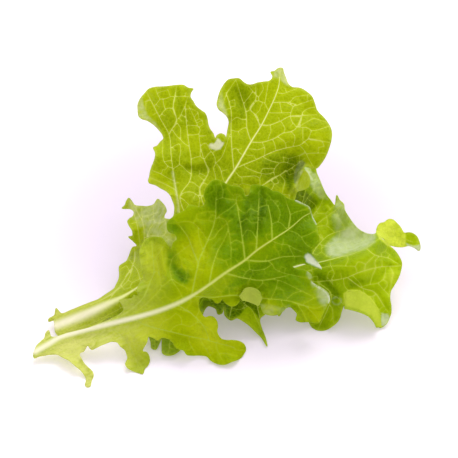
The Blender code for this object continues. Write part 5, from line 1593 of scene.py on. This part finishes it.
    # Light let through the blade is yellower, and hardly any passes the thick rib
    glow = add(tree, "ShaderNodeMix", IN_COLOUR, {
        AMOUNT: GLOW_SHARE, UNDER: colour, OVER: linear(look["glow"]),
    }, MIXED)
    through = add(tree, "ShaderNodeBsdfTranslucent", {}, {"Color": glow, "Normal": bump})
    let_through = add(tree, "ShaderNodeMapRange", {}, {
        "Value": share["on_rib"], "To Min": look["let_through"], "To Max": RIB_LETS_THROUGH,
    })
    blade = add(tree, "ShaderNodeMixShader", {}, {0: let_through, 1: wax, 2: through})
    add(tree, "ShaderNodeOutputMaterial", {}, {"Surface": blade})
    return material


def opal_table_top():
    """Matt opal table top, lit evenly from below: it takes soft, pale shadows, and a painted lilac halo,
    darker round the bunch, stands in for the lilac shade near the leaves.
    """
    material, tree = bare_material("opal_table_top")
    place = add(tree, "ShaderNodeTexCoord", out="Object")
    grain = add(tree, "ShaderNodeTexNoise", {}, {
        "Vector": place, "Scale": 1 / TABLE_GRAIN, "Detail": 3.0,
    }, "Fac")
    white = add(tree, "ShaderNodeMix", IN_COLOUR, {
        AMOUNT: grain, UNDER: linear(OPAL_WHITE), OVER: linear(OPAL_GRAIN),
    }, MIXED)
    from_middle = add(tree, "ShaderNodeVectorMath", {"operation": "DISTANCE"}, {
        0: place, 1: LILAC_MIDDLE,
    }, "Value")
    lilac = add(tree, "ShaderNodeMapRange", SMOOTHLY, {
        "Value": from_middle, "From Min": LILAC_FULL_TO, "From Max": LILAC_GONE_FROM, "To Min": 1.0,
        "To Max": 0.0,
    })
    colour = add(tree, "ShaderNodeMix", IN_COLOUR, {
        AMOUNT: lilac, UNDER: white, OVER: linear(PAINTED_LILAC_HALO),
    }, MIXED)
    opal = add(tree, "ShaderNodeBsdfPrincipled", {}, {
        "Base Color": colour, "Roughness": TABLE_ROUGHNESS, "Specular IOR Level": TABLE_SHINE,
        "Emission Color": linear(TABLE_GLOW_COLOUR), "Emission Strength": TABLE_GLOW,
    })
    add(tree, "ShaderNodeOutputMaterial", {}, {"Surface": opal})
    return material


def lay_board():
    """The table top that the leaves lie on."""
    half = TABLE_WIDTH / 2
    mesh = bpy.data.meshes.new("board")
    mesh.from_pydata([
        (-half, -half, TABLE_TOP), (half, -half, TABLE_TOP),
        (half, half, TABLE_TOP), (-half, half, TABLE_TOP),
    ], [], [(0, 1, 2, 3)])
    mesh.materials.append(opal_table_top())
    board = bpy.data.objects.new("board", mesh)
    bpy.context.scene.collection.objects.link(board)


def light_softly():
    """Bright even light all round, with one broad soft light from behind and the right."""
    world = bpy.data.worlds.new("soft_room")
    bpy.context.scene.world = world
    world.use_nodes = True
    background = world.node_tree.nodes["Background"]
    background.inputs["Color"].default_value = linear(ROOM_COLOUR)
    background.inputs["Strength"].default_value = ROOM_LIGHT
    lamp = bpy.data.lights.new("soft_window", "SUN")
    lamp.energy = WINDOW_LIGHT
    lamp.angle = WINDOW_SPREAD
    lamp.color = linear(WINDOW_COLOUR)[:3]
    window = bpy.data.objects.new("soft_window", lamp)
    window.rotation_euler = Vector(WINDOW_FROM).to_track_quat("Z", "Y").to_euler()
    bpy.context.scene.collection.objects.link(window)


def set_camera():
    """The photograph's view, from far enough away to look parallel."""
    toward_eye = Vector((0.0, -math.cos(VIEW_ELEVATION), math.sin(VIEW_ELEVATION)))
    up = Vector((0.0, math.sin(VIEW_ELEVATION), math.cos(VIEW_ELEVATION)))
    target = Vector(((DRAWING_CENTRE - DRAWING_MIDDLE_RIGHT) * DRAWING_STEP, -MIDDLE_BEHIND_BASE_LINE, 0.0))
    target += up * (DRAWING_BASE_LINE - DRAWING_CENTRE) * DRAWING_STEP - toward_eye * MIDDLE_OF_BUNCH_BACK
    lens = bpy.data.cameras.new("photograph")
    lens.sensor_width = SENSOR
    lens.lens = SENSOR * CAMERA_AWAY / (DRAWING_WIDTH * DRAWING_STEP)
    lens.clip_end = CAMERA_SEES_TO
    camera = bpy.data.objects.new("photograph", lens)
    camera.location = target + toward_eye * CAMERA_AWAY
    camera.rotation_euler = toward_eye.to_track_quat("Z", "Y").to_euler()
    bpy.context.scene.collection.objects.link(camera)
    bpy.context.scene.camera = camera


set_camera()
lay_board()
light_softly()
bpy.context.scene.view_settings.view_transform = "Standard"

for name, drawn, look in (
    ("front", FRONT_LEAF, FRONT_LOOK),
    ("back", BACK_LEAF, BACK_LOOK),
    ("under", UNDER_LEAF, UNDER_LOOK),
):
    finish = fresh_lettuce_blade(name + "_fresh_lettuce_blade", look)
    leaf = grow_leaf(name + "_lettuce_leaf", drawn, finish)
    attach(leaf, "root")
    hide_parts(name + "_leaf")
